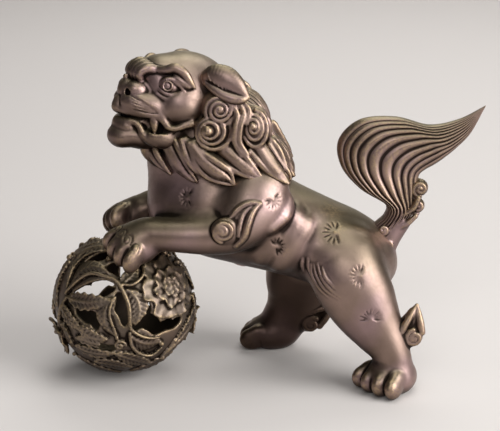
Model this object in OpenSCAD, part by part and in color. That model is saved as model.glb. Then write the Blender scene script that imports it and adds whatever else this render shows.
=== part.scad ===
// A lion dog in patinated cast bronze, rearing with both forepaws on an openwork ball of peonies.
// X runs from the face (-X) to the tail (+X), Y across the lion with its left side at -Y, Z up from the
// surface that it stands on. The castings are hollow and meet on saddles, spigots and studs.

/* [Trunk] */
// Length of the trunk from breast to rump
trunk_l = 163; // [156:1:172]
// Where the breast comes to, along X
breast_x = -75; // [-79:0.5:-72]
// Height of the trunk's middle at the chest
chest_z = 121; // [117:0.5:126]
// Height of the trunk's middle at the rump
rump_z = 80; // [74:0.5:86]
// Width of the chest
chest_w = 78; // [70:1:86]
// Depth of the chest
chest_deep = 72; // [66:1:78]
// Width of the waist
waist_w = 70; // [62:1:76]
// Depth of the waist
waist_deep = 62; // [56:1:68]
// Width of the rump
rump_w = 72; // [64:1:78]
// Depth of the rump
rump_deep = 58; // [52:1:64]
// Width of the neck under the mane
neck_w = 68; // [60:1:74]
// Thickness of the cast walls
cast_wall = 3.5; // [2.5:0.5:5]

/* [Head] */
// Turn of the face towards the left side, in degrees
head_turn = 24; // [10:1:32]
// Height of the head's turning point
head_z = 190; // [186:0.5:194]
// Length of the skull
skull_l = 64; // [58:1:70]
// Width of the skull
skull_w = 60; // [54:1:66]
// Height of the skull
skull_h = 54; // [50:1:58]
// Width of the muzzle
muzzle_w = 38; // [32:1:44]
// Opening between the lips
mouth_gap = 4; // [2:0.5:6]
// Length of an ear
ear_l = 34; // [28:1:40]
// Thickness of an ear
ear_t = 6; // [4:0.5:9]
// Diameter of the tang that holds an ear
tang_d = 4; // [3:0.5:5]
// Length of that tang
tang_l = 14; // [12:1:16]
// Thickness of a lock of the mane
lock_t = 9; // [7:0.5:12]
// Radius of the curls in the mane
mane_curl_r = 10; // [8:0.5:12]

/* [Forelegs] */
// Thickness of a forearm
forearm_d = 25; // [21:0.5:29]
// Thickness at a wrist
wrist_d = 23; // [19:0.5:26]
// Distance between the elbows
elbow_gap = 84; // [78:1:90]
// Length of a forepaw
forepaw_l = 34; // [30:1:38]
// Width of a forepaw
forepaw_w = 30; // [26:1:34]
// Height of a forepaw
forepaw_h = 22; // [19:0.5:25]

/* [Hind legs] */
// Distance between the hind paws, across the lion
stance = 84; // [78:1:92]
// Depth of a thigh, fore and aft
thigh_deep = 54; // [48:1:60]
// Width of a thigh
thigh_w = 36; // [30:1:42]
// Thickness at a hock
hock_d = 25; // [21:0.5:28]
// Where the left hind paw stands, along X
left_paw_x = 82; // [78:0.5:88]
// Where the right hind paw stands, along X
right_paw_x = 4; // [0:0.5:10]
// Length of a hind paw
hindpaw_l = 40; // [36:1:44]
// Width of a hind paw
hindpaw_w = 32; // [28:1:36]
// Height of a hind paw
hindpaw_h = 21; // [18:0.5:24]

/* [Tail] */
// Height of the plume's top
plume_top = 181; // [174:1:190]
// Reach of the plume's tip, along X
plume_reach = 147.8; // [140:0.5:156]
// Greatest thickness of the plume
plume_t = 19; // [14:1:24]
// Diameter of the tenon that seats the tail
tenon_d = 9; // [7:0.5:11]
// Length of that tenon
tenon_l = 16; // [12:1:20]
// Diameter of the pin across the tenon
tail_pin_d = 2.5; // [2:0.25:3.5]

/* [Ball] */
// Diameter of the ball, without its reliefs
ball_d = 101; // [94:0.5:106]
// Ball's centre along X
ball_x = -97.5; // [-102:0.5:-94]
// Ball's centre along Y
ball_y = -6; // [-10:0.5:0]
// Thickness of the ball's wall
ball_wall = 3.5; // [2.5:0.5:5]
// Diameter of the flat that the ball rests on
ball_flat_d = 16; // [12:1:24]
// How far leaves and flowers stand out
relief = 1.8; // [1:0.2:3]
// Pierced openings in a row round the ball
openings = 8; // [6:1:9]
// Length of a pierced opening
opening_l = 24; // [18:1:27]
// Width of a pierced opening
opening_w = 15; // [9:1:17]

/* [Fastenings] */
// Diameter of the studs that hold the paws to the ball
stud_d = 4; // [3:0.5:5]
// Length of those studs
stud_l = 18; // [16:1:22]
// Width across the flats of their nuts
nut_af = 7; // [6:0.5:8]
// Thickness of the nuts
nut_t = 3; // [2:0.5:4]
// Diameter of the washers
washer_d = 10; // [9:0.5:12]
// Thickness of the washers
washer_t = 1.2; // [0.8:0.2:2]
// Diameter of the spigots that locate the legs
spigot_d = 14; // [10:1:16]
// Length of a leg's spigot inside the trunk
spigot_l = 9; // [7:1:12]
// Diameter of the plugs that close the core holes
plug_d = 12; // [9:1:15]
// Diameter of the pins through the neck and the ball's seam
pin_d = 2.5; // [2:0.25:3]
// Length of the neck's pins
neck_pin_l = 12; // [10:1:14]
// Gap round a pin, a stud or a spigot
fit = 0.06; // [0.03:0.01:0.1]
// Gap along a seam where two castings meet
seam = 0.1; // [0.05:0.05:0.3]

/* [Hidden] */
bronze = "#4f3f36";
dark_bronze = "#3f352c";
worn_bronze = "#7a5c3c";
iron = "#5a5550";
near = -1;
far = 1;
ball_r = ball_d / 2;
ball_c = [ball_x, ball_y, sqrt(ball_r * ball_r - ball_flat_d * ball_flat_d / 4)];
rump_x = breast_x + trunk_l;
space = 400;

// ---- forms: smooth solids drawn through a few stations [x, y, z, half width, half depth] ----

function unit(v) = v / norm(v);
function spot(s) = [s[0], s[1], s[2]];
// Point at share t between b and c of a curve that passes through a, b, c and d
function between(a, b, c, d, t) =
    0.5 * (2 * b + (c - a) * t + (2 * a - 5 * b + 4 * c - d) * t * t + (3 * b - a - 3 * c + d) * t * t * t);
function smooth(s, steps) =
    let (last = len(s) - 1)
    [for (i = [0:last - 1]) for (k = [0:steps - 1])
        between(s[max(i - 1, 0)], s[i], s[i + 1], s[min(i + 2, last)], k / steps), s[last]];
// Ring of points square to the way along, its width lying across the lion
function ring(s, along, sides) =
    let (side = unit([0, 1, 0] - along * along[1]), up = cross(side, along))
    [for (k = [0:sides - 1]) spot(s) + side * s[3] * cos(360 * k / sides) + up * s[4] * sin(360 * k / sides)];
function way(s, i) = unit(spot(s[min(i + 1, len(s) - 1)]) - spot(s[max(i - 1, 0)]));
// The stations that are wide enough to be hollow inside
function roomy(s) = [for (p = s) if (min(p[3], p[4]) > 3 * cast_wall) p];

module skin(rings) {
    sides = len(rings[0]);
    last = len(rings) - 1;
    polyhedron(
        points = [for (r = rings) each r],
        faces = [
            [for (k = [sides - 1:-1:0]) k],
            for (i = [0:last - 1]) for (k = [0:sides - 1])
                each let (a = i * sides, b = a + sides, n = (k + 1) % sides)
                    [[a + k, a + n, b + k], [a + n, b + n, b + k]],
            [for (k = [0:sides - 1]) last * sides + k]
        ]);
}

module form(stations, sides = 16, steps = 3, grow = 0) {
    s = [for (p = smooth(stations, steps)) [p[0], p[1], p[2], p[3] + grow, p[4] + grow]];
    skin([for (i = [0:len(s) - 1]) ring(s[i], way(s, i), sides)]);
}

// One closed mesh round overlapping forms, so that holes drilled in it afterwards stay true
module one_skin() { resize([0, 0, 0]) union() children(); }

module lump(at, size, facets = 14) {
    translate(at) scale(size / 2) sphere(1, $fn = facets);
}

// A strand rolled up in a spiral that lies flat against the lion's side
module curl(at, r, t, side, start = 0, turns = 1.35) {
    step = 60;
    form([for (a = [0:step:360 * turns]) let (share = a / (360 * turns), rr = r * (1 - 0.85 * share))
        [at[0] + rr * cos(start + a), at[1] + side * t * 0.5 * share, at[2] + rr * sin(start + a),
            t * (0.45 + 0.2 * share), r * (0.3 + 0.06 * share)]], sides = 5, steps = 1);
}

// A lock of hair: a tapering strand through root, bend and tip, thick in the middle
module lock(root, bend, tip, wide) {
    mid = (root + 2 * bend + tip) / 4;
    form([
        [each root, lock_t * 0.3, wide * 0.25],
        [each (root + mid) / 2 + (mid - (root + tip) / 2) * 0.25, lock_t * 0.5, wide * 0.45],
        [each mid, lock_t * 0.5, wide * 0.5],
        [each (mid + tip) / 2 + (mid - (root + tip) / 2) * 0.25, lock_t * 0.42, wide * 0.36],
        [each tip, lock_t * 0.12, wide * 0.06]
    ], sides = 6, steps = 1);
}

module above_ground() {
    intersection() {
        children();
        translate([-space / 2, -space / 2, 0]) cube(space);
    }
}

// ---- trunk ----

function trunk_at(along, fall, w, deep) =
    [breast_x + along * trunk_l, 0, chest_z - fall * (chest_z - rump_z), w / 2, deep / 2];
trunk_path = [
    trunk_at(0, -0.02, chest_w * 0.14, chest_deep * 0.14),
    trunk_at(0.03, 0, chest_w * 0.48, chest_deep * 0.44),
    trunk_at(0.1, 0.02, chest_w * 0.78, chest_deep * 0.76),
    trunk_at(0.25, 0.02, chest_w, chest_deep),
    trunk_at(0.42, 0.24, chest_w, chest_deep),
    trunk_at(0.59, 0.5, waist_w, waist_deep),
    trunk_at(0.74, 0.75, rump_w, waist_deep),
    trunk_at(0.87, 1, rump_w, rump_deep),
    trunk_at(0.96, 1.2, rump_w * 0.74, rump_deep * 0.72),
    trunk_at(1, 1.32, rump_w * 0.3, rump_deep * 0.3)
];
neck_path = [
    [breast_x + 45, 0, chest_z - 11, neck_w * 0.46, 38],
    [breast_x + 46, 0, chest_z + 17, neck_w * 0.52, 49],
    [breast_x + 41, 0, chest_z + 33, neck_w * 0.5, 45],
    [breast_x + 37, 0, chest_z + 48, neck_w * 0.46, 40],
    [breast_x + 34, 0, chest_z + 62, neck_w * 0.4, 33]
];

// Past the trunk's own end, so that the head's socket runs on above it
neck_top = neck_path[4] + [-4, 0, 12, -neck_w * 0.04, -5];

module trunk_form(grow = 0) {
    form(trunk_path, sides = 20, steps = 2, grow = grow);
    form(neck_path, sides = 20, steps = 2, grow = grow);
}
// What the head is hollowed by, so that it sits over the neck
module neck_socket() {
    form(trunk_path, sides = 20, steps = 2, grow = seam);
    form([each neck_path, neck_top], sides = 20, steps = 2, grow = seam);
}

module trunk_hollow() {
    form(roomy(trunk_path), sides = 16, steps = 2, grow = -cast_wall);
    form([each neck_path, neck_top], sides = 16, steps = 1, grow = -cast_wall);
}

// ---- legs: hip or shoulder, joint and ankle as stations ----

function hip(side) = [rump_x - (side == near ? 31 : 41), side * (rump_w / 2 - 10), rump_z + 6];
function hind_paw(side) = [side == near ? left_paw_x : right_paw_x, side * stance / 2, 0];
function hind_path(side) =
    let (h = hip(side), p = hind_paw(side), back = side == near ? 3 : 12, knee = side == near ? 4 : -4)
    [
        [h[0] - 1, h[1], h[2] + 12, thigh_w * 0.4, thigh_deep * 0.4],
        [h[0], h[1], h[2], thigh_w * 0.58, thigh_deep * 0.5],
        [h[0] * 0.72 + p[0] * 0.28 + knee * 0.5, h[1] * 0.6 + p[1] * 0.4, h[2] * 0.74,
            thigh_w * 0.54, thigh_deep * 0.52],
        [h[0] * 0.44 + (p[0] + back) * 0.56 + knee * 0.6, h[1] * 0.3 + p[1] * 0.7, h[2] * 0.52,
            thigh_w * 0.45, thigh_deep * 0.42],
        [p[0] + back, p[1], h[2] * 0.34, hock_d * 0.5, hock_d * 0.56],
        [p[0] + back, p[1], hindpaw_h * 0.95, hock_d * 0.47, hock_d * 0.5],
        [p[0] + back - 1, p[1], hindpaw_h * 0.35, hock_d * 0.4, hock_d * 0.46]
    ];

// A paw lying flat: the pad and its four toes, pointing to -X before it is turned
module paw(l, w, h, toe_drop = 0) {
    toe_w = w / 3.3;
    lump([l * 0.12, 0, h * 0.42], [l * 0.76, w * 0.86, h * 0.96]);
    for (k = [-1.5:1:1.5])
        translate([-l * 0.2 + abs(k) * l * 0.06, k * toe_w * 0.86, h * 0.38 - toe_drop])
            rotate([0, 0, -k * 9]) lump([-l * 0.05, 0, 0], [l * 0.5, toe_w * 1.15, h * 0.86], 10);
}

module hock_flame(at, side) {
    curl(at, 6.5, 5, side, start = -60, turns = 1.3);
    lock(at + [-5, 0, -14], at + [8, 0, 4], at + [1, 0, 23], 10);
}

module hind_leg_form(side) {
    p = hind_paw(side);
    form(hind_path(side), sides = 11, steps = 2);
    translate(p) rotate([0, 0, side == near ? 34 : -18]) paw(hindpaw_l, hindpaw_w, hindpaw_h);
    hock_flame([p[0] + (side == near ? 17 : 24), p[1] + side * 3, hindpaw_h + 18], side);
}

function paw_aim(side) =
    let (tilt = side == near ? 10 : -7, lean = 28)
    [sin(tilt) * cos(lean), side * sin(lean), cos(tilt) * cos(lean)];
function forepaw(side) = ball_c + paw_aim(side) * (ball_r + forepaw_h * 0.42);
function elbow(side) = [breast_x + 52, side * elbow_gap / 2, chest_z - 10];
function foreleg_path(side) =
    let (e = elbow(side), p = forepaw(side))
    [
        [e[0] + 19, e[1] - side * 13, e[2] + 28, forearm_d * 0.44, forearm_d * 0.66],
        [e[0] + 13, e[1] - side * 6, e[2] + 17, forearm_d * 0.62, forearm_d * 0.94],
        [e[0] + 1, e[1] - side * 1, e[2] + 2, forearm_d * 0.6, forearm_d * 0.7],
        [e[0] - 22, e[1] * 0.9 + p[1] * 0.1, e[2] * 0.9 + p[2] * 0.1 - 1, forearm_d * 0.52, forearm_d * 0.52],
        [p[0] * 0.72 + e[0] * 0.28, p[1] * 0.75 + e[1] * 0.25, p[2] + forepaw_h * 0.16,
            wrist_d * 0.5, wrist_d * 0.5],
        [p[0] + forepaw_l * 0.1, p[1], p[2] + forepaw_h * 0.1, wrist_d * 0.46, wrist_d * 0.45]
    ];

module on_paw(side) {
    translate(forepaw(side)) rotate([0, 0, side == near ? 48 : -12]) rotate([0, side == near ? -36 : -20, 0])
        children();
}

module foreleg_form(side, grow = 0) {
    form(foreleg_path(side), sides = 11, steps = 2, grow = grow);
    on_paw(side) translate([0, 0, -forepaw_h * 0.42]) paw(forepaw_l, forepaw_w, forepaw_h, 2);
    e = elbow(side);
    lump(e + [18, -side * 9, 19], [42, 25, 46], 10);
    lump(e + [3, -side * 3, 1], [36, 25, 30], 10);
    curl(e + [4, side * 12, 4], 7, 6, side, start = 120);
    lock(e + [12, side * 11, -4], e + [17, side * 13, 8], e + [30, side * 3, 24], 12);
}

leg_wall = cast_wall + 1;
// Where the middle of a leg's spigot lies: just inside the trunk's wall
function shoulder_spigot(side) =
    let (e = elbow(side)) [e[0] + 16, side * (chest_w / 2 - cast_wall - 2), e[2] + 14];
function hip_spigot(side) = let (h = hip(side)) [h[0], side * (rump_w / 2 - cast_wall - 4), h[2]];
module spigot(at, gap = 0) {
    translate(at) rotate([90, 0, 0])
        cylinder(d = spigot_d + 2 * gap, h = spigot_l * 2 + 2 * gap, center = true, $fn = 48);
}
module spigot_boss(at, reach = spigot_l + cast_wall) {
    translate(at) rotate([90, 0, 0])
        cylinder(d = spigot_d + 2 * cast_wall, h = reach * 2, center = true, $fn = 24);
}

// ---- tail: the plume between its outer and inner edge, from root to tip ----

tail_root = [rump_x - 12, rump_z + 24];
plume_strands = 4;
strand_deep = 0.22;
// Each row holds the outer edge, the inner edge and the share of the thickness there, from the tail's root
plume_rows = [
    [[-1, 0], [9, -14], 0.5], [[5, 7], [16, -4], 0.62], [[4, 14], [24, 5], 0.7], [[-6, 22], [30, 17], 0.82],
    [[-18, 31], [30, 27], 0.94], [[-27, 44], [28.5, 34], 1], [[-28, 56], [28, 38], 1],
    [[-23, 67], [28.5, 40], 1], [[-12, 74.5], [30, 41], 0.98], [[3, 77], [33, 42], 0.92],
    [[15, 75], [38, 44.5], 0.84], [[28, 71.5], [45, 49], 0.72], [[42, 70], [53, 55], 0.58],
    [[56, 75], [62, 65], 0.42], [[66, 81], [68, 75], 0.26], [[72.5, 85], [72.5, 83.5], 0.1]
];
plume_tip = plume_rows[len(plume_rows) - 1][0];
plume_crest = max([for (row = plume_rows) if (row[0][0] < row[1][0] / 3) row[0][1]]);
function plume_point(p) = [
    tail_root[0] + p[0] * (p[0] > 0 ? (plume_reach - tail_root[0]) / plume_tip[0] : 1),
    tail_root[1] + p[1] * (plume_top - tail_root[1]) / plume_crest
];
function plume_ring(row, sides) =
    let (o = plume_point(row[0]), i = plume_point(row[1]), m = (o + i) / 2, h = (o - i) / 2)
    [for (k = [0:sides - 1])
        let (a = 360 * k / sides, c = cos(a), s = sin(a), crest = abs(sin(90 * plume_strands * (1 - c))))
            [m[0] + h[0] * c, plume_t / 2 * row[2] * s * (1 - strand_deep * (1 - crest)), m[1] + h[1] * c]];

module tail_form() {
    skin([for (row = plume_rows) plume_ring(row, 24)]);
    curl([tail_root[0] + 31, -2, tail_root[1] + 25], 5.5, 7, near, turns = 1.2);
    curl([tail_root[0] + 31, 2, tail_root[1] + 25], 5.5, 7, far, turns = 1.2);
    curl([tail_root[0] + 29, 0, tail_root[1] + 14], 4.5, 7, near, turns = 1.2);
}

tenon_tilt = 38;
tenon_root = 8;
tail_seat = [tail_root[0] + 4, 0, tail_root[1] - 7];
pin_depth = tenon_l - 5;
tail_boss_d = tenon_d + 9;
module along_tenon() {
    translate(tail_seat) rotate([0, 180 + tenon_tilt, 0]) children();
}
module tenon(gap = 0) {
    along_tenon() translate([0, 0, -tenon_root])
        cylinder(d = tenon_d + 2 * gap, h = tenon_l + tenon_root + gap, $fn = 48);
}
module across_tenon(gap = 0) {
    along_tenon() translate([0, 0, pin_depth]) rotate([90, 0, 0])
        cylinder(d = tail_pin_d + 2 * gap, h = tail_boss_d - 2 + 2 * gap, center = true, $fn = 32);
}

// ---- head ----

head_c = [breast_x + 33, 0, head_z];
module on_head() { translate(head_c) rotate([0, 0, head_turn]) children(); }
skull_c = [-15, 0, 8];

module face_form() {
    lump(skull_c, [skull_l, skull_w, skull_h], 18);
    lump([-40, 0, -3], [42, muzzle_w, 28], 14);
    lump([-56, 0, 6], [16, 23, 14], 12);
    lump([-38, 0, -21], [48, muzzle_w - 4, 20], 14);
    lump([-56, 0, -22], [22, 26, 18], 12);
    lump([-46, 0, 22], [16, 18, 13], 12);
    lump([-42, 0, 10], [20, 20, 17], 12);
    for (side = [near, far]) {
        lump([-50, side * 9, -4], [22, 19, 17], 12);
        lump([-36, side * 13, 23], [24, 20, 11], 12);
        lump([-22, side * 22, 2], [26, 20, 26], 12);
        lump([-32, side * 20, 15], [11, 9, 10], 10);
    }
}

module mouth() {
    slit = [[-75, -12 - mouth_gap / 2], [-75, -12 + mouth_gap / 2], [-48, -10 + mouth_gap / 2], [-28, -11],
        [-48, -11 - mouth_gap / 2]];
    rotate([90, 0, 0]) linear_extrude(skull_w + 20, center = true) polygon(slit);
}

// Curls [from head_c along X, across, up, size] and locks [root, bend, tip] of one side of the mane
mane_curls = [[11, 34, 2, 1], [8, 36, -14, 1.12], [34, 33, -11, 1.2], [29, 28, 4, 0.9]];
mane_locks = [
    [[-28, 24, -16], [-20, 30, -34], [0, 34, -44]], [[-18, 28, -16], [-10, 35, -36], [21, 40, -47]],
    [[-6, 33, -22], [6, 38, -40], [22, 40, -46]], [[8, 36, -24], [20, 40, -38], [40, 38, -46]],
    [[24, 34, -24], [38, 38, -36], [56, 35, -47]], [[30, 18, 6], [46, 24, -14], [58, 20, -36]]
];

module mane_form() {
    form([
        [head_c[0] + 6, 0, head_z + 14, 24, 22], [head_c[0] + 6, 0, head_z + 4, 34, 30],
        [head_c[0] + 5, 0, head_z - 12, 38, 41], [head_c[0] + 8, 0, head_z - 28, 38, 46],
        [head_c[0] + 12, 0, head_z - 40, 37, 48]
    ], sides = 14, steps = 2);
    for (side = [near, far]) {
        lump(head_c + [7, side * 28, -11], [29, 22, 37], 10);
        for (c = mane_curls)
            curl(head_c + [c[0], side * c[1], c[2]], mane_curl_r * c[3], lock_t, side, start = 60);
        for (l = mane_locks)
            lock(head_c + [l[0][0], side * l[0][1], l[0][2]], head_c + [l[1][0], side * l[1][1], l[1][2]],
                head_c + [l[2][0], side * l[2][1], l[2][2]], 15);
    }
    lock(head_c + [32, 0, 0], head_c + [50, 0, -22], head_c + [65, 0, -46], 16);
}

ear_root = [-7, 30, 23];
module ear_form(side, grow = 0) {
    on_head() form([
        [ear_root[0] - 4, side * (ear_root[1] - 4), ear_root[2] - 2, ear_t * 0.4, 7],
        [ear_root[0] + 2, side * (ear_root[1] + 3), ear_root[2] + 2, ear_t * 0.6, 12],
        [ear_root[0] + ear_l * 0.35, side * (ear_root[1] + 9), ear_root[2] - 4, ear_t * 0.6, 13],
        [ear_root[0] + ear_l * 0.62, side * (ear_root[1] + 11), ear_root[2] - 15, ear_t * 0.5, 8],
        [ear_root[0] + ear_l * 0.7, side * (ear_root[1] + 11), ear_root[2] - 21, ear_t * 0.3, 2.5]
    ], sides = 10, steps = 2, grow = grow);
}
module ear_tang(side, gap = 0) {
    on_head() translate([ear_root[0], side * (ear_root[1] - 5), ear_root[2] - 4]) rotate([90, 0, 0])
        cylinder(d = tang_d + 2 * gap, h = tang_l + 2 * gap, center = true, $fn = 32);
}

// ---- ball: two pierced shells that lap at the equator, with raised leaves and flowers ----

lap_h = 3;
round_fn = 28;
module at_ball() { translate(ball_c) children(); }
// Turns the Z axis to a place on the ball: az from +X towards +Y, el up from the equator
module towards(az, el, spin = 0) { rotate([0, 90 - el, az]) rotate([0, 0, spin]) children(); }
module along_aim(side) {
    a = paw_aim(side);
    towards(atan2(a[1], a[0]), asin(a[2])) children();
}

// A leaf's outline with both ends pointed, its length along X
module leaf_outline(l, w) {
    r = (l * l + w * w) / (4 * w);
    intersection() {
        translate([0, r - w / 2]) circle(r, $fn = 18);
        translate([0, w / 2 - r]) circle(r, $fn = 18);
    }
}

module piercing(l, w) {
    translate([0, 0, ball_r - 2 * ball_wall]) linear_extrude(4 * ball_wall) leaf_outline(l, w);
}

// Raised metal of a given outline that follows the ball's curve
module raised(stand) {
    intersection() {
        sphere(ball_r + stand, $fn = round_fn);
        translate([0, 0, ball_r - ball_wall * 0.8]) linear_extrude(ball_wall * 3) children();
    }
}

module flower(d, petals) {
    raised(relief) for (k = [0:petals - 1]) rotate([0, 0, 360 * k / petals]) translate([d * 0.29, 0])
        circle(d * 0.21, $fn = 8);
    raised(relief * 1.4) circle(d * 0.16, $fn = 8);
}

// Height of the rows of openings above and below the equator, and their lean from it, in degrees
row_el = 27;
leaf_lean = 62;
// Flowers on the ball, each [az, el, diameter]
flowers = [[-52, 24, 34], [160, 50, 26], [70, 26, 30], [-170, -32, 24], [-100, -30, 28], [30, -26, 30]];

// One half of the shell: up is 1 above the equator and -1 below it
module half_shell(up) {
    intersection() {
        union() {
            difference() {
                sphere(ball_r, $fn = round_fn);
                sphere(ball_r - ball_wall, $fn = round_fn);
                for (k = [0:openings - 1])
                    towards(360 * (k + (up > 0 ? 0 : 0.5)) / openings, up * row_el, up * leaf_lean)
                        piercing(opening_l, opening_w);
            }
            for (k = [0:openings - 1])
                towards(360 * (k + (up > 0 ? 0.5 : 1)) / openings, up * (row_el + 2), up * leaf_lean)
                    raised(relief) leaf_outline(opening_l * 1.1, opening_w * 0.45);
            for (f = flowers) if (f[1] * up > 0) towards(f[0], f[1]) flower(f[2], 5);
            if (up > 0) paw_seats();
        }
        translate([-ball_d, -ball_d, up > 0 ? 0 : -2 * ball_d]) cube(2 * ball_d);
    }
}

// The inner half of the wall, which stands up from the lower shell inside the upper one
module lap(gap = 0) {
    difference() {
        intersection() {
            sphere(ball_r - ball_wall / 2 + gap, $fn = round_fn);
            translate([0, 0, -gap]) cylinder(r = ball_d, h = lap_h + 2 * gap);
        }
        sphere(ball_r - ball_wall - gap, $fn = round_fn);
    }
}

seat_d = 22;
boss_in = 1;
stud_face = ball_r - ball_wall - boss_in;
// Where a paw stands: a plain round patch outside and a flat boss inside
module paw_seats() {
    for (side = [near, far]) along_aim(side) {
        raised(relief) circle(d = seat_d, $fn = 16);
        intersection() {
            sphere(ball_r - ball_wall / 2, $fn = round_fn);
            translate([0, 0, stud_face]) cylinder(d = washer_d + 3, h = ball_wall + boss_in, $fn = 48);
        }
    }
}
module studs(gap = 0) {
    at_ball() for (side = [near, far]) along_aim(side)
        translate([0, 0, stud_face - washer_t - nut_t - 1])
            cylinder(d = stud_d + 2 * gap, h = stud_l + gap, $fn = 32);
}
module seam_pins(gap = 0) {
    at_ball() for (az = [45:90:315]) towards(az, asin(lap_h / 2 / ball_r))
        translate([0, 0, ball_r - ball_wall])
            cylinder(d = pin_d * 0.6 + 2 * gap, h = ball_wall - 0.4 + gap, $fn = 24);
}

// ---- nodes ----

// The plugs close two holes in the belly, square to its wall
module plug_cylinders(gap = 0) {
    for (i = [4, 5]) let (s = trunk_path[i], down = cross([0, 1, 0], way(trunk_path, i)))
        translate(spot(s) + down * (s[4] - cast_wall - gap)) rotate([0, atan2(down[0], down[2]), 0])
            cylinder(d = plug_d + 2 * gap, h = cast_wall + 12 * gap, $fn = 48);
}
module neck_pin_cylinders(gap = 0) {
    for (a = [45:90:315]) translate([neck_path[2][0], 0, neck_path[2][2] + 5]) rotate([0, 90, a])
        translate([0, 0, neck_w / 2 - cast_wall])
            cylinder(d = pin_d + 2 * gap, h = neck_pin_l + gap, $fn = 32);
}

module trunk() {
    color(bronze) difference() {
        one_skin() difference() {
            trunk_form();
            difference() {
                trunk_hollow();
                along_tenon() translate([0, 0, -tenon_root])
                    cylinder(d = tail_boss_d, h = tenon_l + tenon_root + cast_wall, $fn = 20);
                for (side = [near, far]) {
                    spigot_boss(shoulder_spigot(side));
                    spigot_boss(hip_spigot(side));
                }
            }
        }
        tenon(fit);
        across_tenon(fit);
        plug_cylinders(fit);
        neck_pin_cylinders(fit);
        for (side = [near, far]) {
            spigot(shoulder_spigot(side), fit);
            spigot(hip_spigot(side), fit);
        }
    }
}

module head() {
    color(bronze) difference() {
        one_skin() difference() {
            on_head() face_form();
            on_head() mouth();
            on_head() lump(skull_c, [skull_l, skull_w, skull_h] - 4 * [cast_wall, cast_wall, cast_wall]);
            neck_socket();
            for (side = [near, far]) ear_form(side, grow = seam);
        }
        for (side = [near, far]) ear_tang(side, fit);
    }
}

module mane() {
    color(worn_bronze) difference() {
        one_skin() difference() {
            mane_form();
            on_head() scale(1 + 2 * seam / skull_w) face_form();
            neck_socket();
            for (side = [near, far]) {
                foreleg_form(side, grow = seam);
                ear_form(side, grow = seam);
            }
        }
        neck_pin_cylinders(fit);
    }
}

module ear(side) {
    color(worn_bronze) union() {
        one_skin() ear_form(side);
        ear_tang(side);
    }
}
module left_ear() { ear(near); }
module right_ear() { ear(far); }

module foreleg(side) {
    color(bronze) difference() {
        union() {
            one_skin() difference() {
                foreleg_form(side);
                trunk_form(grow = seam);
            }
            spigot(shoulder_spigot(side));
        }
        at_ball() sphere(ball_r + relief + seam, $fn = round_fn);
        studs(fit);
    }
}
module left_foreleg() { foreleg(near); }
module right_foreleg() { foreleg(far); }

module hind_leg(side) {
    color(bronze) above_ground() union() {
        one_skin() difference() {
            hind_leg_form(side);
            trunk_form(grow = seam);
            difference() {
                form(roomy(hind_path(side)), sides = 10, steps = 2, grow = -leg_wall);
                spigot_boss(hip_spigot(side), thigh_w);
            }
        }
        spigot(hip_spigot(side));
    }
}
module left_hind_leg() { hind_leg(near); }
module right_hind_leg() { hind_leg(far); }

module tail() {
    color(bronze) difference() {
        union() {
            one_skin() difference() {
                tail_form();
                trunk_form(grow = seam);
            }
            tenon();
        }
        across_tenon(fit);
    }
}
module tail_pin() { color(iron) across_tenon(); }
module neck_pins() { color(bronze) neck_pin_cylinders(); }

module core_plugs() {
    color(worn_bronze) plug_cylinders();
}

module ball_upper_half() {
    color(dark_bronze) difference() {
        one_skin() at_ball() difference() {
            half_shell(1);
            lap(fit);
        }
        studs(fit);
        seam_pins(fit);
    }
}

module ball_lower_half() {
    color(dark_bronze) difference() {
        above_ground() one_skin() at_ball() union() {
            half_shell(-1);
            lap();
        }
        seam_pins(fit);
    }
}
module ball_pins() { color(dark_bronze) seam_pins(); }

module paw_studs() { color(iron) studs(); }
module stud_washers() {
    color(iron) at_ball() for (side = [near, far]) along_aim(side) difference() {
        translate([0, 0, stud_face - washer_t]) cylinder(d = washer_d, h = washer_t, $fn = 48);
        cylinder(d = stud_d + 2 * fit, h = ball_r, $fn = 32);
    }
}
module stud_nuts() {
    color(iron) at_ball() for (side = [near, far]) along_aim(side) difference() {
        translate([0, 0, stud_face - washer_t - nut_t]) cylinder(d = nut_af / cos(30), h = nut_t, $fn = 6);
        cylinder(d = stud_d + 2 * fit, h = ball_r, $fn = 32);
    }
}

trunk();
head();
mane();
left_ear();
right_ear();
left_foreleg();
right_foreleg();
left_hind_leg();
right_hind_leg();
tail();
tail_pin();
neck_pins();
core_plugs();
ball_upper_half();
ball_lower_half();
ball_pins();
paw_studs();
stud_washers();
stud_nuts();
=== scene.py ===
import math
import bpy
import numpy as np
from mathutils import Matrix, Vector


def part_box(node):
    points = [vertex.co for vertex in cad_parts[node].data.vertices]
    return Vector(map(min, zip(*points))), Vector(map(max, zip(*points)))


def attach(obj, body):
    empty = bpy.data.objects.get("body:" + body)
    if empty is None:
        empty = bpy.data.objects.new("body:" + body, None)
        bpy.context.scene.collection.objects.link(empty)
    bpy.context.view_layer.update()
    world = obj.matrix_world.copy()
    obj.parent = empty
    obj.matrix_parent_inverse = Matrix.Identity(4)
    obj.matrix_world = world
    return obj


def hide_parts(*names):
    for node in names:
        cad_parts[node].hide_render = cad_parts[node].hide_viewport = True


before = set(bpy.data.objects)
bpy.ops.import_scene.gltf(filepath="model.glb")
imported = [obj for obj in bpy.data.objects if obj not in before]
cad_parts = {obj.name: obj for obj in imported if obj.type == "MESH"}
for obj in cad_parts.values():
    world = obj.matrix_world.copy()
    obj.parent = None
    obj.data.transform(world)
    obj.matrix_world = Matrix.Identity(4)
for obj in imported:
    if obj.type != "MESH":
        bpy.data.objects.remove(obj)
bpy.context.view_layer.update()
mm = 0.001
near, far = -1, 1  # the lion's left side lies at -Y, its right side at +Y
rng = np.random.default_rng(7)


# lowest and highest corner of some CAD nodes together, in mm
def boxOf(*nodes):
    corners = np.array([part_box(node) for node in nodes]) / mm
    return corners[:, 0].min(axis=0), corners[:, 1].max(axis=0)


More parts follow.
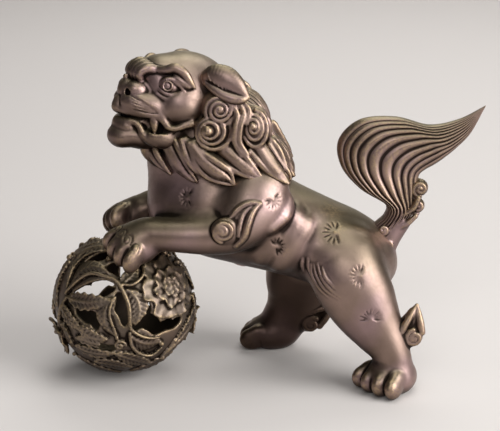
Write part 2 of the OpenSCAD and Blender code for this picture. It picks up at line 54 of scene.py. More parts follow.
def unit(v):
    return v / np.maximum(np.linalg.norm(v, axis=-1, keepdims=True), 1e-9)


# a smooth curve through rows of numbers: each span is the cubic whose ends lean towards their neighbours
def curveThrough(rows, count):
    rows = np.asarray(rows, float)
    padded = np.vstack([2 * rows[0] - rows[1], rows, 2 * rows[-1] - rows[-2]])
    at = np.linspace(0, len(rows) - 1, count)
    span = np.minimum(at.astype(int), len(rows) - 2)
    t = (at - span)[:, None]
    a, b, c, d = padded[span], padded[span + 1], padded[span + 2], padded[span + 3]
    square = (2 * a - 5 * b + 4 * c - d) * t ** 2
    cube = (3 * b - a - 3 * c + d) * t ** 3
    return 0.5 * (2 * b + (c - a) * t + square + cube)


# directions along, across and up for each point of a path: across stays level
def framesAlong(points):
    along = unit(np.gradient(points, axis=0))
    level = np.array([0, 1.0, 0])
    across = unit(level - along * (along @ level)[:, None])
    return along, across, np.cross(along, across)


# a point or rows given for the right side, put on either side
def both(row, side):
    row = np.array(row, float)
    row[..., 1] *= side
    return row


# rows of x, y, z, radius round a centre in the plane of u and v: the reach r runs evenly between two radii
# and the angle a through some turns from a start in degrees; each point is centre + r cos a u + r sin a v
def spiralRows(centre, u, v, radii, turns, start, thick, count=14, rise=(0, 0, 0)):
    a = np.radians(start) + np.linspace(0, turns, count) * 2 * math.pi
    r = np.linspace(radii[0], radii[1], count)
    u, v = np.array(u, float), np.array(v, float)
    points = np.array(centre, float) + (r * np.cos(a))[:, None] * u + (r * np.sin(a))[:, None] * v
    points = points + np.linspace(0, 1, count)[:, None] * np.array(rise, float)
    return np.column_stack([points, np.linspace(thick[0], thick[1], count)])


# a curve through some points, its radius running evenly through the given thicknesses
def strandRows(points, thick, count=14):
    points = curveThrough(points, count)
    share = np.linspace(0, 1, count)
    return np.column_stack([points, np.interp(share, np.linspace(0, 1, len(thick)), thick)])


# clay: a block of distances to a surface, below zero inside it
class Clay:
    def __init__(self, low, high, pitch):
        self.low = np.asarray(low, float)
        self.pitch = pitch
        self.count = np.ceil((np.asarray(high, float) - self.low) / pitch).astype(int) + 1
        self.field = np.full(self.count, 8.0, np.float32)

    # slices of the block round two corners, and the coordinates there
    def window(self, low, high):
        first = np.clip(np.floor((low - self.low) / self.pitch).astype(int), 0, self.count - 1)
        last = np.clip(np.ceil((high - self.low) / self.pitch).astype(int) + 1, 1, self.count)
        where = tuple(slice(a, max(b, a + 1)) for a, b in zip(first, last))
        axes = [(self.low[i] + self.pitch * np.arange(where[i].start, where[i].stop)).astype(np.float32)
                for i in range(3)]
        return where, np.meshgrid(*axes, indexing="ij", sparse=True)

    # adds a form, or cuts it out: within blend of the surface the two run together smoothly
    def shape(self, low, high, distance, blend=0.0, cut=False):
        margin = blend + 3 * self.pitch
        where, grid = self.window(np.asarray(low) - margin, np.asarray(high) + margin)
        sign = -1 if cut else 1
        self.field[where] = sign * smoothMin(sign * self.field[where], distance(*grid), blend)


# the lesser of two distances, rounded off where they are within blend of each other
def smoothMin(a, b, blend):
    if blend <= 0:
        return np.minimum(a, b)
    mix = np.clip(0.5 + 0.5 * (b - a) / blend, 0, 1)
    return b + (a - b) * mix - blend * mix * (1 - mix)


# distance to an ellipsoid: (q - 1) q / |gradient of q|, q being the length of the point over the radii
def eggDistance(centre, radii, axes):
    def distance(x, y, z):
        dx, dy, dz = x - centre[0], y - centre[1], z - centre[2]
        q0 = 0
        q1 = 0
        for axis, r in zip(axes, radii):
            along = dx * axis[0] + dy * axis[1] + dz * axis[2]
            q0 = q0 + (along / r) ** 2
            q1 = q1 + (along / (r * r)) ** 2
        q0 = np.sqrt(q0)
        return (q0 * (q0 - 1) / np.sqrt(q1 + 1e-9)).astype(np.float32)
    return distance


# axes of a form turned about its own X (roll), then Y (pitch), then Z (yaw), in degrees
def turned(yaw=0.0, pitch=0.0, roll=0.0):
    a, b, c = np.radians([yaw, pitch, roll])
    rz = np.array([[math.cos(a), -math.sin(a), 0], [math.sin(a), math.cos(a), 0], [0, 0, 1]])
    ry = np.array([[math.cos(b), 0, math.sin(b)], [0, 1, 0], [-math.sin(b), 0, math.cos(b)]])
    rx = np.array([[1, 0, 0], [0, math.cos(c), -math.sin(c)], [0, math.sin(c), math.cos(c)]])
    return (rz @ ry @ rx).T


def egg(clay, centre, radii, blend=2.0, axes=None, cut=False):
    centre = np.asarray(centre, float)
    axes = np.eye(3) if axes is None else axes
    reach = np.sqrt(((np.asarray(radii)[:, None] * axes) ** 2).sum(axis=0))
    clay.shape(centre - reach, centre + reach, eggDistance(centre, radii, axes), blend, cut)


# several eggs: rows of centre, radii, blend, yaw
def eggs(clay, rows, side=far):
    for centre, radii, blend, yaw in rows:
        egg(clay, both(centre, side), radii, blend, turned(side * yaw))


# distance to a strand: a chain of straight pieces whose thickness runs evenly from point to point
def strandDistance(points, radii):
    def distance(x, y, z):
        best = None
        for a, b, ra, rb in zip(points[:-1], points[1:], radii[:-1], radii[1:]):
            ab = b - a
            t = ((x - a[0]) * ab[0] + (y - a[1]) * ab[1] + (z - a[2]) * ab[2]) / max(ab @ ab, 1e-9)
            t = np.clip(t, 0, 1)
            dx, dy, dz = x - a[0] - t * ab[0], y - a[1] - t * ab[1], z - a[2] - t * ab[2]
            d = np.sqrt(dx ** 2 + dy ** 2 + dz ** 2) - (ra + t * (rb - ra))
            best = d if best is None else np.minimum(best, d)
        return best.astype(np.float32)
    return distance


# one strand through rows of x, y, z, radius, added or cut out
def strand(clay, rows, blend=1.0, steps=None, cut=False):
    rows = curveThrough(rows, steps) if steps else np.asarray(rows, float)
    points, radii = rows[:, :3], rows[:, 3]
    low = (points - radii[:, None]).min(axis=0)
    high = (points + radii[:, None]).max(axis=0)
    clay.shape(low, high, strandDistance(points, radii), blend, cut)


# a limb: flat eggs in a row along a curve, each lying square to it; rows of x, y, z, half width, half depth.
# It gives back the limb's own distances, before it ran together with the rest
def limb(clay, rows, blend, spacing=2.0, firmness=0.8):
    rows = np.asarray(rows, float)
    length = np.linalg.norm(np.diff(rows[:, :3], axis=0), axis=1).sum()
    rows = curveThrough(rows, int(length / spacing) + 2)
    along, across, up = framesAlong(rows[:, :3])
    form = Clay(clay.low, clay.low + (clay.count - 1.5) * clay.pitch, clay.pitch)
    for i, row in enumerate(rows):
        thick = firmness * min(row[3], row[4])
        egg(form, row[:3], (thick, row[3], row[4]), 0, np.array([along[i], across[i], up[i]]))
    clay.field = smoothMin(clay.field, form.field, blend)
    return form.field


# the clay again at a finer pitch: straight blends between the points, then a light blur
def refine(clay, times):
    fine = Clay(clay.low, clay.low + (clay.count - 1) * clay.pitch, clay.pitch / times)
    field = clay.field
    for axis in range(3):
        count = field.shape[axis]
        at = np.arange((count - 1) * times + 1) / times
        lower = np.minimum(at.astype(int), count - 2)
        share = (at - lower).astype(np.float32).reshape([-1 if i == axis else 1 for i in range(3)])
        field = np.take(field, lower, axis) * (1 - share) + np.take(field, lower + 1, axis) * share
        for _ in range(2):
            middle = [slice(None)] * 3
            left, right = list(middle), list(middle)
            middle[axis], left[axis], right[axis] = slice(1, -1), slice(None, -2), slice(2, None)
            ends = field[tuple(left)] + field[tuple(right)]
            field[tuple(middle)] = 0.5 * field[tuple(middle)] + 0.25 * ends
    fine.count = np.array(field.shape)
    fine.field = field
    return fine


# a field's value at any points, straight between the eight grid points round each
def sampleField(field, low, pitch, points):
    at = (points - low) / pitch
    base = np.clip(np.floor(at).astype(int), 0, np.array(field.shape) - 2)
    t = np.clip(at - base, 0, 1)
    total = 0
    for corner in np.ndindex(2, 2, 2):
        weight = np.prod([t[:, i] if corner[i] else 1 - t[:, i] for i in range(3)], axis=0)
        total = total + weight * field[tuple((base + corner).T)]
    return total


# moves points along one direction onto the clay's surface, starting from outside
def onSkin(clay, points, outward, reach=6.0):
    steps = np.linspace(reach, -reach, 61)
    line = points[:, None, :] + steps[None, :, None] * outward
    inside = sampleField(clay.field, clay.low, clay.pitch, line.reshape(-1, 3)).reshape(len(points), -1) < 0
    first = np.where(inside.any(axis=1), inside.argmax(axis=1), 30)
    return points + steps[first][:, None] * outward


# cuts a line into the clay, laid on the skin by sliding it along one direction
def engrave(clay, rows, outward, blend):
    skin = onSkin(clay, rows[:, :3], outward)
    strand(clay, np.column_stack([skin, rows[:, 3]]), blend, cut=True)


# the clay's surface: one point in each cell that it crosses, at the mean of the crossings on the cell's
# edges, and one quad round each grid edge whose two ends lie on different sides
def surfaceOf(clay):
    field = clay.field
    inside = field < 0
    nx, ny, nz = np.array(field.shape) - 1
    corners = list(np.ndindex(2, 2, 2))
    total = sum(inside[i:nx + i, j:ny + j, k:nz + k].astype(np.uint8) for i, j, k in corners)
    cells = np.argwhere((total > 0) & (total < 8))
    number = np.full(total.shape, -1, np.int32)
    number[tuple(cells.T)] = np.arange(len(cells))
    value = {c: field[tuple((cells + c).T)] for c in corners}
    sums = np.zeros((len(cells), 3))
    hits = np.zeros(len(cells))
    for a in corners:
        for axis in range(3):
            if a[axis]:
                continue
            b = tuple(1 if i == axis else a[i] for i in range(3))
            crosses = (value[a] < 0) != (value[b] < 0)
            share = np.where(crosses, value[a] / np.where(crosses, value[a] - value[b], 1), 0)
            point = np.array(a, float)[None, :] + share[:, None] * (np.arange(3) == axis)[None, :]
            sums += point * crosses[:, None]
            hits += crosses
    clay.cells = cells  # the cell that each point lies in
    points = clay.low + clay.pitch * (cells + sums / hits[:, None])
    quads = []
    for axis in range(3):
        u, v = (axis + 1) % 3, (axis + 2) % 3
        first, second = [slice(None)] * 3, [slice(None)] * 3
        first[axis], second[axis] = slice(None, -1), slice(1, None)
        a, b = inside[tuple(first)], inside[tuple(second)]
        edges = np.argwhere(a != b)
        low, high = (edges[:, [u, v]] > 0).all(axis=1), (edges < number.shape)[:, [u, v]].all(axis=1)
        edges = edges[low & high]
        flip = a[tuple(edges.T)]
        stepU, stepV = (np.arange(3) == u).astype(int), (np.arange(3) == v).astype(int)
        ring = [number[tuple((edges - s).T)] for s in (stepU + stepV, stepV, 0 * stepU, stepU)]
        quad = np.stack(ring, axis=1)
        quad[~flip] = quad[~flip][:, ::-1]
        quads.append(quad)
    return points, np.vstack(quads)


def edgesOf(faces):
    return np.vstack([faces[:, [i, (i + 1) % faces.shape[1]]] for i in range(faces.shape[1])])


# mean of each vertex's neighbours, as a sum over all edges
def neighbourMean(points, edges):
    count = len(points)
    ways = np.vstack([edges, edges[:, ::-1]])
    weight = np.bincount(ways[:, 0], minlength=count)
    sums = [np.bincount(ways[:, 0], weights=points[ways[:, 1], i], minlength=count) for i in range(3)]
    return np.stack(sums, axis=1) / np.maximum(weight, 1)[:, None]


# the clay's surface, each vertex drawn half way to its neighbours' mean a few times
def skinOf(clay, rounds=2):
    points, faces = surfaceOf(clay)
    edges = edgesOf(faces)
    for _ in range(rounds):
        points = points + 0.5 * (neighbourMean(points, edges) - points)
    return points, faces


def normalsOf(points, faces):
    if faces.shape[1] == 4:
        cross = np.cross(points[faces[:, 2]] - points[faces[:, 0]], points[faces[:, 3]] - points[faces[:, 1]])
    else:
        cross = np.cross(points[faces[:, 1]] - points[faces[:, 0]], points[faces[:, 2]] - points[faces[:, 0]])
    out = np.zeros_like(points)
    for i in range(faces.shape[1]):
        for axis in range(3):
            out[:, axis] += np.bincount(faces[:, i], weights=cross[:, axis], minlength=len(points))
    return unit(out)


# rounds of smoothing at two scales, and at each the height and the depth in mm that count in full
relief = {"fineRounds": 6, "fineHeight": 0.12, "fineDepth": 0.1,
          "broadRounds": 60, "broadHeight": 1.0, "broadDepth": 0.7}


# for each vertex, where 0 is not at all and 1 is fully: how far handling has rubbed it, how far it lies in a
# hollow, and how far it faces down, which is painted darker as shade. What stands out is told at two scales
# by the smoothed surface's distance below it, in mm
def reliefLayers(points, faces):
    edges = edgesOf(faces)
    normals = normalsOf(points, faces)
    smooth, above = points, []
    for rounds in (relief["fineRounds"], relief["broadRounds"]):
        for _ in range(rounds):
            smooth = 0.3 * smooth + 0.7 * neighbourMean(smooth, edges)
        above.append(((points - smooth) * normals).sum(axis=1))
    fine, broad = above
    edge, rise = np.clip(fine / relief["fineHeight"], 0, 1), np.clip(broad / relief["broadHeight"], 0, 1)
    crack, dip = np.clip(-fine / relief["fineDepth"], 0, 1), np.clip(-broad / relief["broadDepth"], 0, 1)
    # painted shade: faces that turn down are darkened as if in shadow
    paintedShade = np.clip(-1.2 * normals[:, 2] - 0.1, 0, 1)
    return {"wear": 0.5 * edge + 0.5 * rise, "hollow": 0.6 * crack + 0.6 * dip, "paintedShade": paintedShade}


def trianglesOf(faces):
    return np.vstack([faces[:, [0, 1, 2]], faces[:, [0, 2, 3]]]) if faces.shape[1] == 4 else faces


# several closed meshes as one list of points and triangles with their layers
def joined(*shells):
    points, faces, layers, start = [], [], [], 0
    for shellPoints, shellFaces in shells:
        layers.append(reliefLayers(shellPoints, shellFaces))
        points.append(shellPoints)
        faces.append(trianglesOf(shellFaces) + start)
        start += len(shellPoints)
    together = {key: np.concatenate([layer[key] for layer in layers]) for key in layers[0]}
    return np.vstack(points), np.vstack(faces), together


# puts points in mm and their faces into a mesh that stands for a CAD node; layers are numbers per vertex
def makePiece(name, points, faces, cadNode, finish, layers, normals=None):
    material, slot = finish
    mesh = bpy.data.meshes.new(name)
    sides = faces.shape[1]
    mesh.vertices.add(len(points))
    mesh.vertices.foreach_set("co", (np.asarray(points) * mm).astype(np.float32).ravel())
    mesh.loops.add(len(faces) * sides)
    mesh.loops.foreach_set("vertex_index", faces.astype(np.int32).ravel())
    mesh.polygons.add(len(faces))
    mesh.polygons.foreach_set("loop_start", np.arange(0, len(faces) * sides, sides, dtype=np.int32))
    mesh.polygons.foreach_set("use_smooth", np.ones(len(faces), bool))
    mesh.update()
    for key, values in layers.items():
        mesh.attributes.new(key, "FLOAT", "POINT").data.foreach_set("value", np.asarray(values, np.float32))
    if normals is not None:
        mesh.normals_split_custom_set_from_vertices(normals.tolist())
    mesh.materials.append(material)
    piece = bpy.data.objects.new(name, mesh)
    bpy.context.scene.collection.objects.link(piece)
    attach(piece, "root")
    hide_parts(cadNode)


# closes a cut surface: each loop of open edges gets a fan of triangles to the loop's middle
def closeLoops(points, faces):
    triangles = trianglesOf(faces)
    edges = edgesOf(triangles)
    size = len(points)
    key = edges[:, 0].astype(np.int64) * size + edges[:, 1]
    back = edges[:, 1].astype(np.int64) * size + edges[:, 0]
    rim = edges[~np.isin(key, back)]
    if not len(rim):
        return points, triangles
    group = np.full(size, size, np.int64)  # an open edge's loop is named by the lowest vertex number on it
    group[rim.ravel()] = rim.ravel()
    before = None
    while before is None or (before != group[rim]).any():
        before = group[rim].copy()
        least = np.minimum(group[rim[:, 0]], group[rim[:, 1]])
        np.minimum.at(group, rim[:, 0], least)
        np.minimum.at(group, rim[:, 1], least)
    _, loop = np.unique(group[rim[:, 0]], return_inverse=True)
    share = np.bincount(loop)
    middle = np.stack([np.bincount(loop, weights=points[rim[:, 0], i]) / share for i in range(3)], axis=1)
    fan = np.stack([rim[:, 1], rim[:, 0], size + loop], axis=1)
    return np.vstack([points, middle]), np.vstack([triangles, fan])


# casts regions of one surface as closed pieces that keep the whole surface's normals along the cuts;
# regions hold each piece's CAD node and which faces it takes
def castRegions(points, faces, layers, regions):
    normals = normalsOf(points, faces)
    for name, (cadNode, chosen) in regions.items():
        taken = faces[chosen]
        used, index = np.unique(taken.ravel(), return_inverse=True)
        cutPoints, triangles = closeLoops(points[used], index.reshape(taken.shape))
        extra = len(cutPoints) - len(used)
        cutNormals = np.vstack([normals[used], np.tile([0, 0, 1.0], (extra, 1))])
        cutLayers = {key: np.append(values[used], np.zeros(extra)) for key, values in layers.items()}
        makePiece(name, cutPoints, triangles, cadNode, bronze, cutLayers, cutNormals)


print("tools ready")


# an sRGB hex value as linear red, green, blue and alpha
def linear(hexColour):
    parts = [int(hexColour[i:i + 2], 16) / 255 for i in (1, 3, 5)]
    return tuple(c / 12.92 if c <= 0.04045 else ((c + 0.055) / 1.055) ** 2.4 for c in parts) + (1.0,)


def emptyMaterial(name):
    material = bpy.data.materials.new(name)
    material.use_nodes = True
    material.node_tree.nodes.clear()
    return material, material.node_tree


# adds a shader node: feeds gives its inputs, by name or number, another node's output or a plain value,
# and the settings are the node's own properties
def node(tree, kind, feeds, **settings):
    made = tree.nodes.new(kind)
    for key, value in settings.items():
        setattr(made, key, value)
    for key, value in feeds.items():
        if isinstance(value, bpy.types.NodeSocket):
            tree.links.new(value, made.inputs[key])
        else:
            made.inputs[key].default_value = value
    return made


# Cast bronze, chased and then coloured with hot chemicals and wax: a warm brown with broad soft reflections,
# olive where it faces up, bare and pale where hands rub the edges, matt black where soot stays in the low
# places, and a painted shade of dark brown underneath and on the legs' inner sides. The real casting's grain
# is too fine to show, so grainMm draws it coarser.
patina = {
    "brown": "#9c857a", "deepBrown": "#76645a", "blush": "#a68b8f", "olive": "#807a5c", "rub": "#bfa67c",
    # the dark brown below and how much of it is used are painted shade, for faces that turn down and the
    # legs' inner sides
    "shadeBrown": "#33261f", "crevice": "#160f0b", "blushMost": 0.5, "oliveMost": 0.75, "rubMost": 0.45,
    "paintedShadeMost": 0.85, "soot": 0.92, "roughness": 0.42, "polish": 0.06, "haze": 0.08, "hollowHaze": 0.25,
    "metallic": 1.0, "cloudMm": 45, "blushMm": 38, "grainMm": 1.6, "bump": 0.1, "bumpMm": 0.25,
}
# the same bronze, worn more evenly and gone greener and duller under many hands
ballPatina = dict(patina, brown="#83756a", deepBrown="#5b5045", blush="#94796a", olive="#7c7259",
                  roughness=0.46, grainMm=1.2)


def bronzeFinish(name, look):
    material, tree = emptyMaterial(name)
    coords = node(tree, "ShaderNodeTexCoord", {}).outputs["Object"]
    noise = {}
    for key, detail, roughness in (("cloud", 3.0, 0.55), ("blush", 2.0, 0.5), ("grain", 4.0, 0.6)):
        size = look[key + "Mm"] * mm
        feeds = {"Vector": coords, "Scale": 1 / size, "Detail": detail, "Roughness": roughness}
        noise[key] = node(tree, "ShaderNodeTexNoise", feeds).outputs["Fac"]
    layer = {}
    for key in ("wear", "hollow", "paintedShade"):
        layer[key] = node(tree, "ShaderNodeAttribute", {}, attribute_name=key).outputs["Fac"]
    outward = node(tree, "ShaderNodeNewGeometry", {}).outputs["Normal"]
    up = node(tree, "ShaderNodeSeparateXYZ", {"Vector": outward}).outputs["Z"]
    feeds = {"Value": noise["grain"], "From Min": 0.42, "From Max": 0.6, "To Min": 0.35}
    speckle = node(tree, "ShaderNodeMapRange", feeds).outputs["Result"]
    rub = node(tree, "ShaderNodeMath", {0: layer["wear"], 1: speckle}, operation="MULTIPLY").outputs[0]
    # each tint lies over those before it: what drives it, where it begins and is full, how far it then covers
    tints = (
        ("deepBrown", noise["cloud"], 0.35, 0.65, 1),
        ("blush", noise["blush"], 0.47, 0.68, look["blushMost"]),
        ("olive", up, 0.35, 1.0, look["oliveMost"]),
        ("rub", rub, 0.25, 0.95, look["rubMost"]),
        # painted shade: dark brown over faces that turn down and over the legs' inner sides
        ("shadeBrown", layer["paintedShade"], 0.05, 0.8, look["paintedShadeMost"]),
        ("crevice", layer["hollow"], 0.1, 0.85, look["soot"]),
    )
    colour = linear(look["brown"])
    for tint, driver, begin, full, most in tints:
        feeds = {"Value": driver, "From Min": begin, "From Max": full, "To Max": most}
        amount = node(tree, "ShaderNodeMapRange", feeds).outputs["Result"]
        feeds = {0: amount, 6: colour, 7: linear(look[tint])}  # the colour inputs A and B of the mix
        colour = node(tree, "ShaderNodeMix", feeds, data_type="RGBA").outputs[2]
    feeds = {"Value": noise["grain"], "From Min": 0.3, "From Max": 0.7,
             "To Min": look["roughness"] - look["polish"], "To Max": look["roughness"] + look["haze"]}
    shine = node(tree, "ShaderNodeMapRange", feeds).outputs["Result"]
    feeds = {0: layer["hollow"], 1: look["hollowHaze"], 2: shine}
    rough = node(tree, "ShaderNodeMath", feeds, operation="MULTIPLY_ADD", use_clamp=True).outputs[0]
    feeds = {"Height": noise["grain"], "Strength": look["bump"], "Distance": look["bumpMm"] * mm}
    bump = node(tree, "ShaderNodeBump", feeds).outputs["Normal"]
    feeds = {"Base Color": colour, "Roughness": rough, "Metallic": look["metallic"], "Normal": bump}
    shader = node(tree, "ShaderNodeBsdfPrincipled", feeds)
    node(tree, "ShaderNodeOutputMaterial", {"Surface": shader.outputs["BSDF"]})
    return material


# Turned iron gone brown in the damp: grey metal between blotches of matt rust that bite into it.
rustedIron = {"iron": "#6d6864", "rust": "#5a3a28", "rustMm": 2.5, "roughness": 0.45, "rustRoughness": 0.85,
              "rustMetallic": 0.2, "bump": 0.3, "bumpMm": 0.2}


def ironFinish(name, look):
    material, tree = emptyMaterial(name)
    coords = node(tree, "ShaderNodeTexCoord", {}).outputs["Object"]
    feeds = {"Vector": coords, "Scale": 1 / (look["rustMm"] * mm), "Detail": 4.0, "Roughness": 0.6}
    spots = node(tree, "ShaderNodeTexNoise", feeds).outputs["Fac"]
    feeds = {"Value": spots, "From Min": 0.42, "From Max": 0.58}
    rust = node(tree, "ShaderNodeMapRange", feeds).outputs["Result"]
    feeds = {0: rust, 6: linear(look["iron"]), 7: linear(look["rust"])}
    colour = node(tree, "ShaderNodeMix", feeds, data_type="RGBA").outputs[2]
    feeds = {"Value": rust, "To Min": look["roughness"], "To Max": look["rustRoughness"]}
    rough = node(tree, "ShaderNodeMapRange", feeds).outputs["Result"]
    feeds = {"Value": rust, "To Min": 1.0, "To Max": look["rustMetallic"]}
    bare = node(tree, "ShaderNodeMapRange", feeds).outputs["Result"]
    feeds = {"Height": spots, "Strength": look["bump"], "Distance": look["bumpMm"] * mm}
    bump = node(tree, "ShaderNodeBump", feeds).outputs["Normal"]
    feeds = {"Base Color": colour, "Roughness": rough, "Metallic": bare, "Normal": bump}
    shader = node(tree, "ShaderNodeBsdfPrincipled", feeds)
    node(tree, "ShaderNodeOutputMaterial", {"Surface": shader.outputs["BSDF"]})
    return material


# each metal with the name of its slot
bronze = (bronzeFinish("brownPatinatedBronze", patina), "bronze")
ballBronze = (bronzeFinish("olivePatinatedBronze", ballPatina), "ball_bronze")
iron = (ironFinish("rustedIron", rustedIron), "iron")
print("metals ready")

stageLook = {
    "paper": "#d2cdc9", "paperRoughness": 0.9, "front": -5.0, "flat": 2.4, "bend": 0.8, "height": 3.0,
    "width": 10.0, "room": "#b9b6b8", "roomPower": 0.14,
    "lens": 100, "look": (-0.0105, 0, 0.111), "away": 0.95, "elevation": 16,
    # soft square lights: edge in m, power in W, place, where they point
    "lamps": {
        "window": (1.5, 50, (1.5, -0.85, 0.8), (0, 0, 0.1)),
        "ceiling": (1.0, 8, (0.1, -0.2, 1.6), (0, 0, 0.1)),
        "front": (0.9, 9, (-0.25, -1.6, 1.15), (0, 0, 0.1)),
        "wallWash": (1.6, 30, (0.4, 1.4, 1.9), (0.2, 2.2, 0)),
    },
}


# matt card, with no pattern that the eye could find
def paperFinish():
    material, tree = emptyMaterial("palePaper")
    feeds = {"Base Color": linear(stageLook["paper"]), "Roughness": stageLook["paperRoughness"]}
    shader = node(tree, "ShaderNodeBsdfPrincipled", feeds)
    node(tree, "ShaderNodeOutputMaterial", {"Surface": shader.outputs["BSDF"]})
    return material


# paper that runs level under the statue, then bends up through a quarter circle into the wall behind it
def paperSweep():
    angle = np.linspace(0, math.pi / 2, 24)
    flat, bend = stageLook["flat"], stageLook["bend"]
    y = np.concatenate([[stageLook["front"]], flat + bend * np.sin(angle), [flat + bend]])
    z = np.concatenate([[0], bend - bend * np.cos(angle), [stageLook["height"]]])
    half = stageLook["width"] / 2
    points = [(x, a, b) for x in (-half, half) for a, b in zip(y, z)]
    count = len(y)
    mesh = bpy.data.meshes.new("paper")
    mesh.from_pydata(points, [], [(k, k + count, k + count + 1, k + 1) for k in range(count - 1)])
    mesh.polygons.foreach_set("use_smooth", np.ones(count - 1, bool))
    sweep = bpy.data.objects.new("paper", mesh)
    bpy.context.scene.collection.objects.link(sweep)
    mesh.materials.append(paperFinish())


# puts a camera or a lamp somewhere, pointed at a target
def placeAimed(name, data, place, target):
    thing = bpy.data.objects.new(name, data)
    bpy.context.scene.collection.objects.link(thing)
    thing.location = place
    thing.rotation_euler = (Vector(target) - Vector(place)).to_track_quat("-Z", "Y").to_euler()
    return thing


def makeStage():
    paperSweep()
    camera = bpy.data.cameras.new("camera")
    camera.lens = stageLook["lens"]
    camera.clip_start = 0.01
    lift = math.radians(stageLook["elevation"])
    x, y, z = stageLook["look"]
    place = (x, y - stageLook["away"] * math.cos(lift), z + stageLook["away"] * math.sin(lift))
    bpy.context.scene.camera = placeAimed("camera", camera, place, stageLook["look"])
    for name, (size, power, place, target) in stageLook["lamps"].items():
        light = bpy.data.lights.new(name, "AREA")
        light.shape, light.size, light.energy = "SQUARE", size, power
        placeAimed(name, light, place, target)
    world = bpy.data.worlds.new("room")
    world.use_nodes = True
    background = world.node_tree.nodes["Background"]
    background.inputs["Color"].default_value = linear(stageLook["room"])
    background.inputs["Strength"].default_value = stageLook["roomPower"]
    bpy.context.scene.world = world
    bpy.context.scene.view_settings.view_transform = "Standard"


makeStage()
print("stage set")

ballLow, ballHigh = boxOf("ball_upper_half", "ball_lower_half")
ballRadius = (ballHigh[0] - ballLow[0]) / 2
ballCentre = (ballLow + ballHigh) / 2
ballCentre[2] = ballHigh[2] - ballRadius  # its underside is ground flat

bodyShape = {
    "block": ((-122, -66, -3), (112, 66, 200)),  # two corners of the clay
    "pitch": 1.4,  # of the coarse clay, in mm; it is refined to half of that for the paws and the ornament
    "waist": 5,  # the trunk's skin is two pieces, in front of this X and behind it
    # hind paws: centre on the ground, the toes' heading in degrees from -X towards -Y, length, width, height
    "hindPaws": [((82, -42, 0), 42, (40, 36, 22)), ((2, 43, 0), -14, (40, 34, 22))],
    # forepaws: x and y of the sole on the ball, the toes' heading, length, width, height
    "forePaws": [((-89.5, -34), 40, (34, 32, 24)), ((-97.5, 22), 20, (34, 32, 24))],
    # a flame behind each hock: the curl's place and how far it leans towards the tail
    "hockFlames": {near: ((98, 40, 39.0), 4), far: ((33, 34, 21.5), 52)},
    "furShift": {near: (0, 0, 0), far: (20, 4, 6)},  # the right thigh stands further forward, and its fur too
    "soleLift": 1.5,  # the sole's middle over the ball, before it is pressed down by soleSink
    "soleSink": 1.0,
    "ballGap": 0.4,  # the soles stay this far off the ball
}
# the trunk, the neck and the legs: rows of x, y, z, half width, half depth, in mm
trunkRows = [
    (-71, 0, 122, 5, 6), (-67, 0, 121, 17, 15), (-57, 0, 120.5, 30, 27), (-36, 0, 119.5, 38, 34),
    (-12, 0, 112, 38, 34), (12, 0, 103, 35.5, 31), (34, 0, 94.5, 34, 29), (53, 0, 86, 34.5, 28.5),
    (68, 0, 79, 30, 24.5), (77, 0, 75, 20, 16), (81, 0, 72, 9, 8),
]
neckRows = [
    (-28, 0, 112, 30, 34), (-29, 0, 134, 33, 39.5), (-36, 0, 152, 32, 44), (-40, 0, 168, 30, 38),
    (-41, 0, 184, 24, 27),
]
hindRows = {
    near: [(49, 21, 99, 12, 20), (51, 26, 89, 16.5, 23), (55.5, 30.5, 77, 18.5, 24.5),
           (62.5, 33, 64, 17.8, 23.5), (68, 35.5, 54, 16, 21), (75.5, 38.5, 42, 13.5, 16.8),
           (82.5, 40.5, 31, 12, 13), (86, 41.5, 20, 11.6, 12), (86, 42, 9, 11.5, 12)],
    far: [(36, 20, 94, 12, 20), (33, 25, 84, 16.5, 24), (29, 30.5, 71, 17.8, 25), (25, 34.5, 56, 16, 23),
          (24, 37.5, 42, 13.8, 20.5), (20, 40, 29, 12.4, 18), (11, 42, 17, 12, 14), (3, 43, 11, 11, 10)],
}
foreRows = {
    near: [(1, 29, 144, 10, 15), (-6, 35, 133, 13, 18), (-13, 39.5, 121, 14, 17.5),
           (-22, 41.5, 112.5, 13, 14), (-36, 41.5, 109.5, 12.2, 12.4), (-52, 40.5, 109, 11.3, 11),
           (-66, 38.5, 109, 11, 10.4), (-78, 36, 108.5, 11.6, 10.6), (-86, 34, 105, 12, 10)],
    far: [(1, 29, 144, 10, 15), (-6, 35, 133, 13, 18), (-13, 39.5, 121, 14, 17.5),
          (-24, 41, 115, 12.8, 13.5), (-42, 38.5, 114.5, 11.4, 11), (-60, 34, 114, 10.4, 9.6),
          (-76, 28.5, 112, 10.4, 9.4), (-87, 25, 108.5, 11, 9)],
}
# soft swellings under the skin: centre, radii, yaw, pitch, blend
muscles = [
    ((-7, 32, 127), (18, 10.5, 21), 0, -20, 9), ((-33, 26, 121), (22, 13, 19), 0, 0, 10),
    ((15, 27, 99), (8, 10, 18), 0, 22, 8), ((2, 29, 104), (6.5, 9, 18), 0, 22, 7),
    ((55, 22, 80), (19, 11, 20), 0, 28, 9), ((-56, 13, 121), (15, 15, 18), 0, 0, 10),
]
# places rubbed down to the metal: middle, size, strength
handled = [
    ((45, -14, 118), (11, 13, 8), 0.75), ((47, -30, 109), (7, 6, 6), 0.4), ((104, -36, 4), (9, 12, 9), 0.3),
    ((-95, -36, 112), (9, 10, 9), 0.25),
]
# a flame's ridges behind the elbow, from the root up to the tip that they share, and their thickness
elbowFlame = [
    [(-24, 51.8, 122.5), (-20, 51.2, 128.4), (-14.6, 50.6, 132.4), (-9.2, 50.3, 134), (-3.4, 49.8, 133.4)],
    [(-19.5, 53.0, 105.6), (-14.6, 54.6, 111.6), (-12.6, 54.8, 118.4), (-10.4, 53.6, 125),
     (-7.6, 51.8, 129.8), (-3.4, 49.8, 133.4)],
    [(-17.8, 55, 113), (-17.2, 54.6, 119.6), (-14.8, 52.8, 127), (-9.2, 51, 131.8)],
]
flameThick = [(1.2, 1.7, 1.6, 1.3, 0.8), (1.8, 2.5, 2.4, 1.9, 0.8), (1.2, 1.5, 1.4, 1.1, 0.7)]
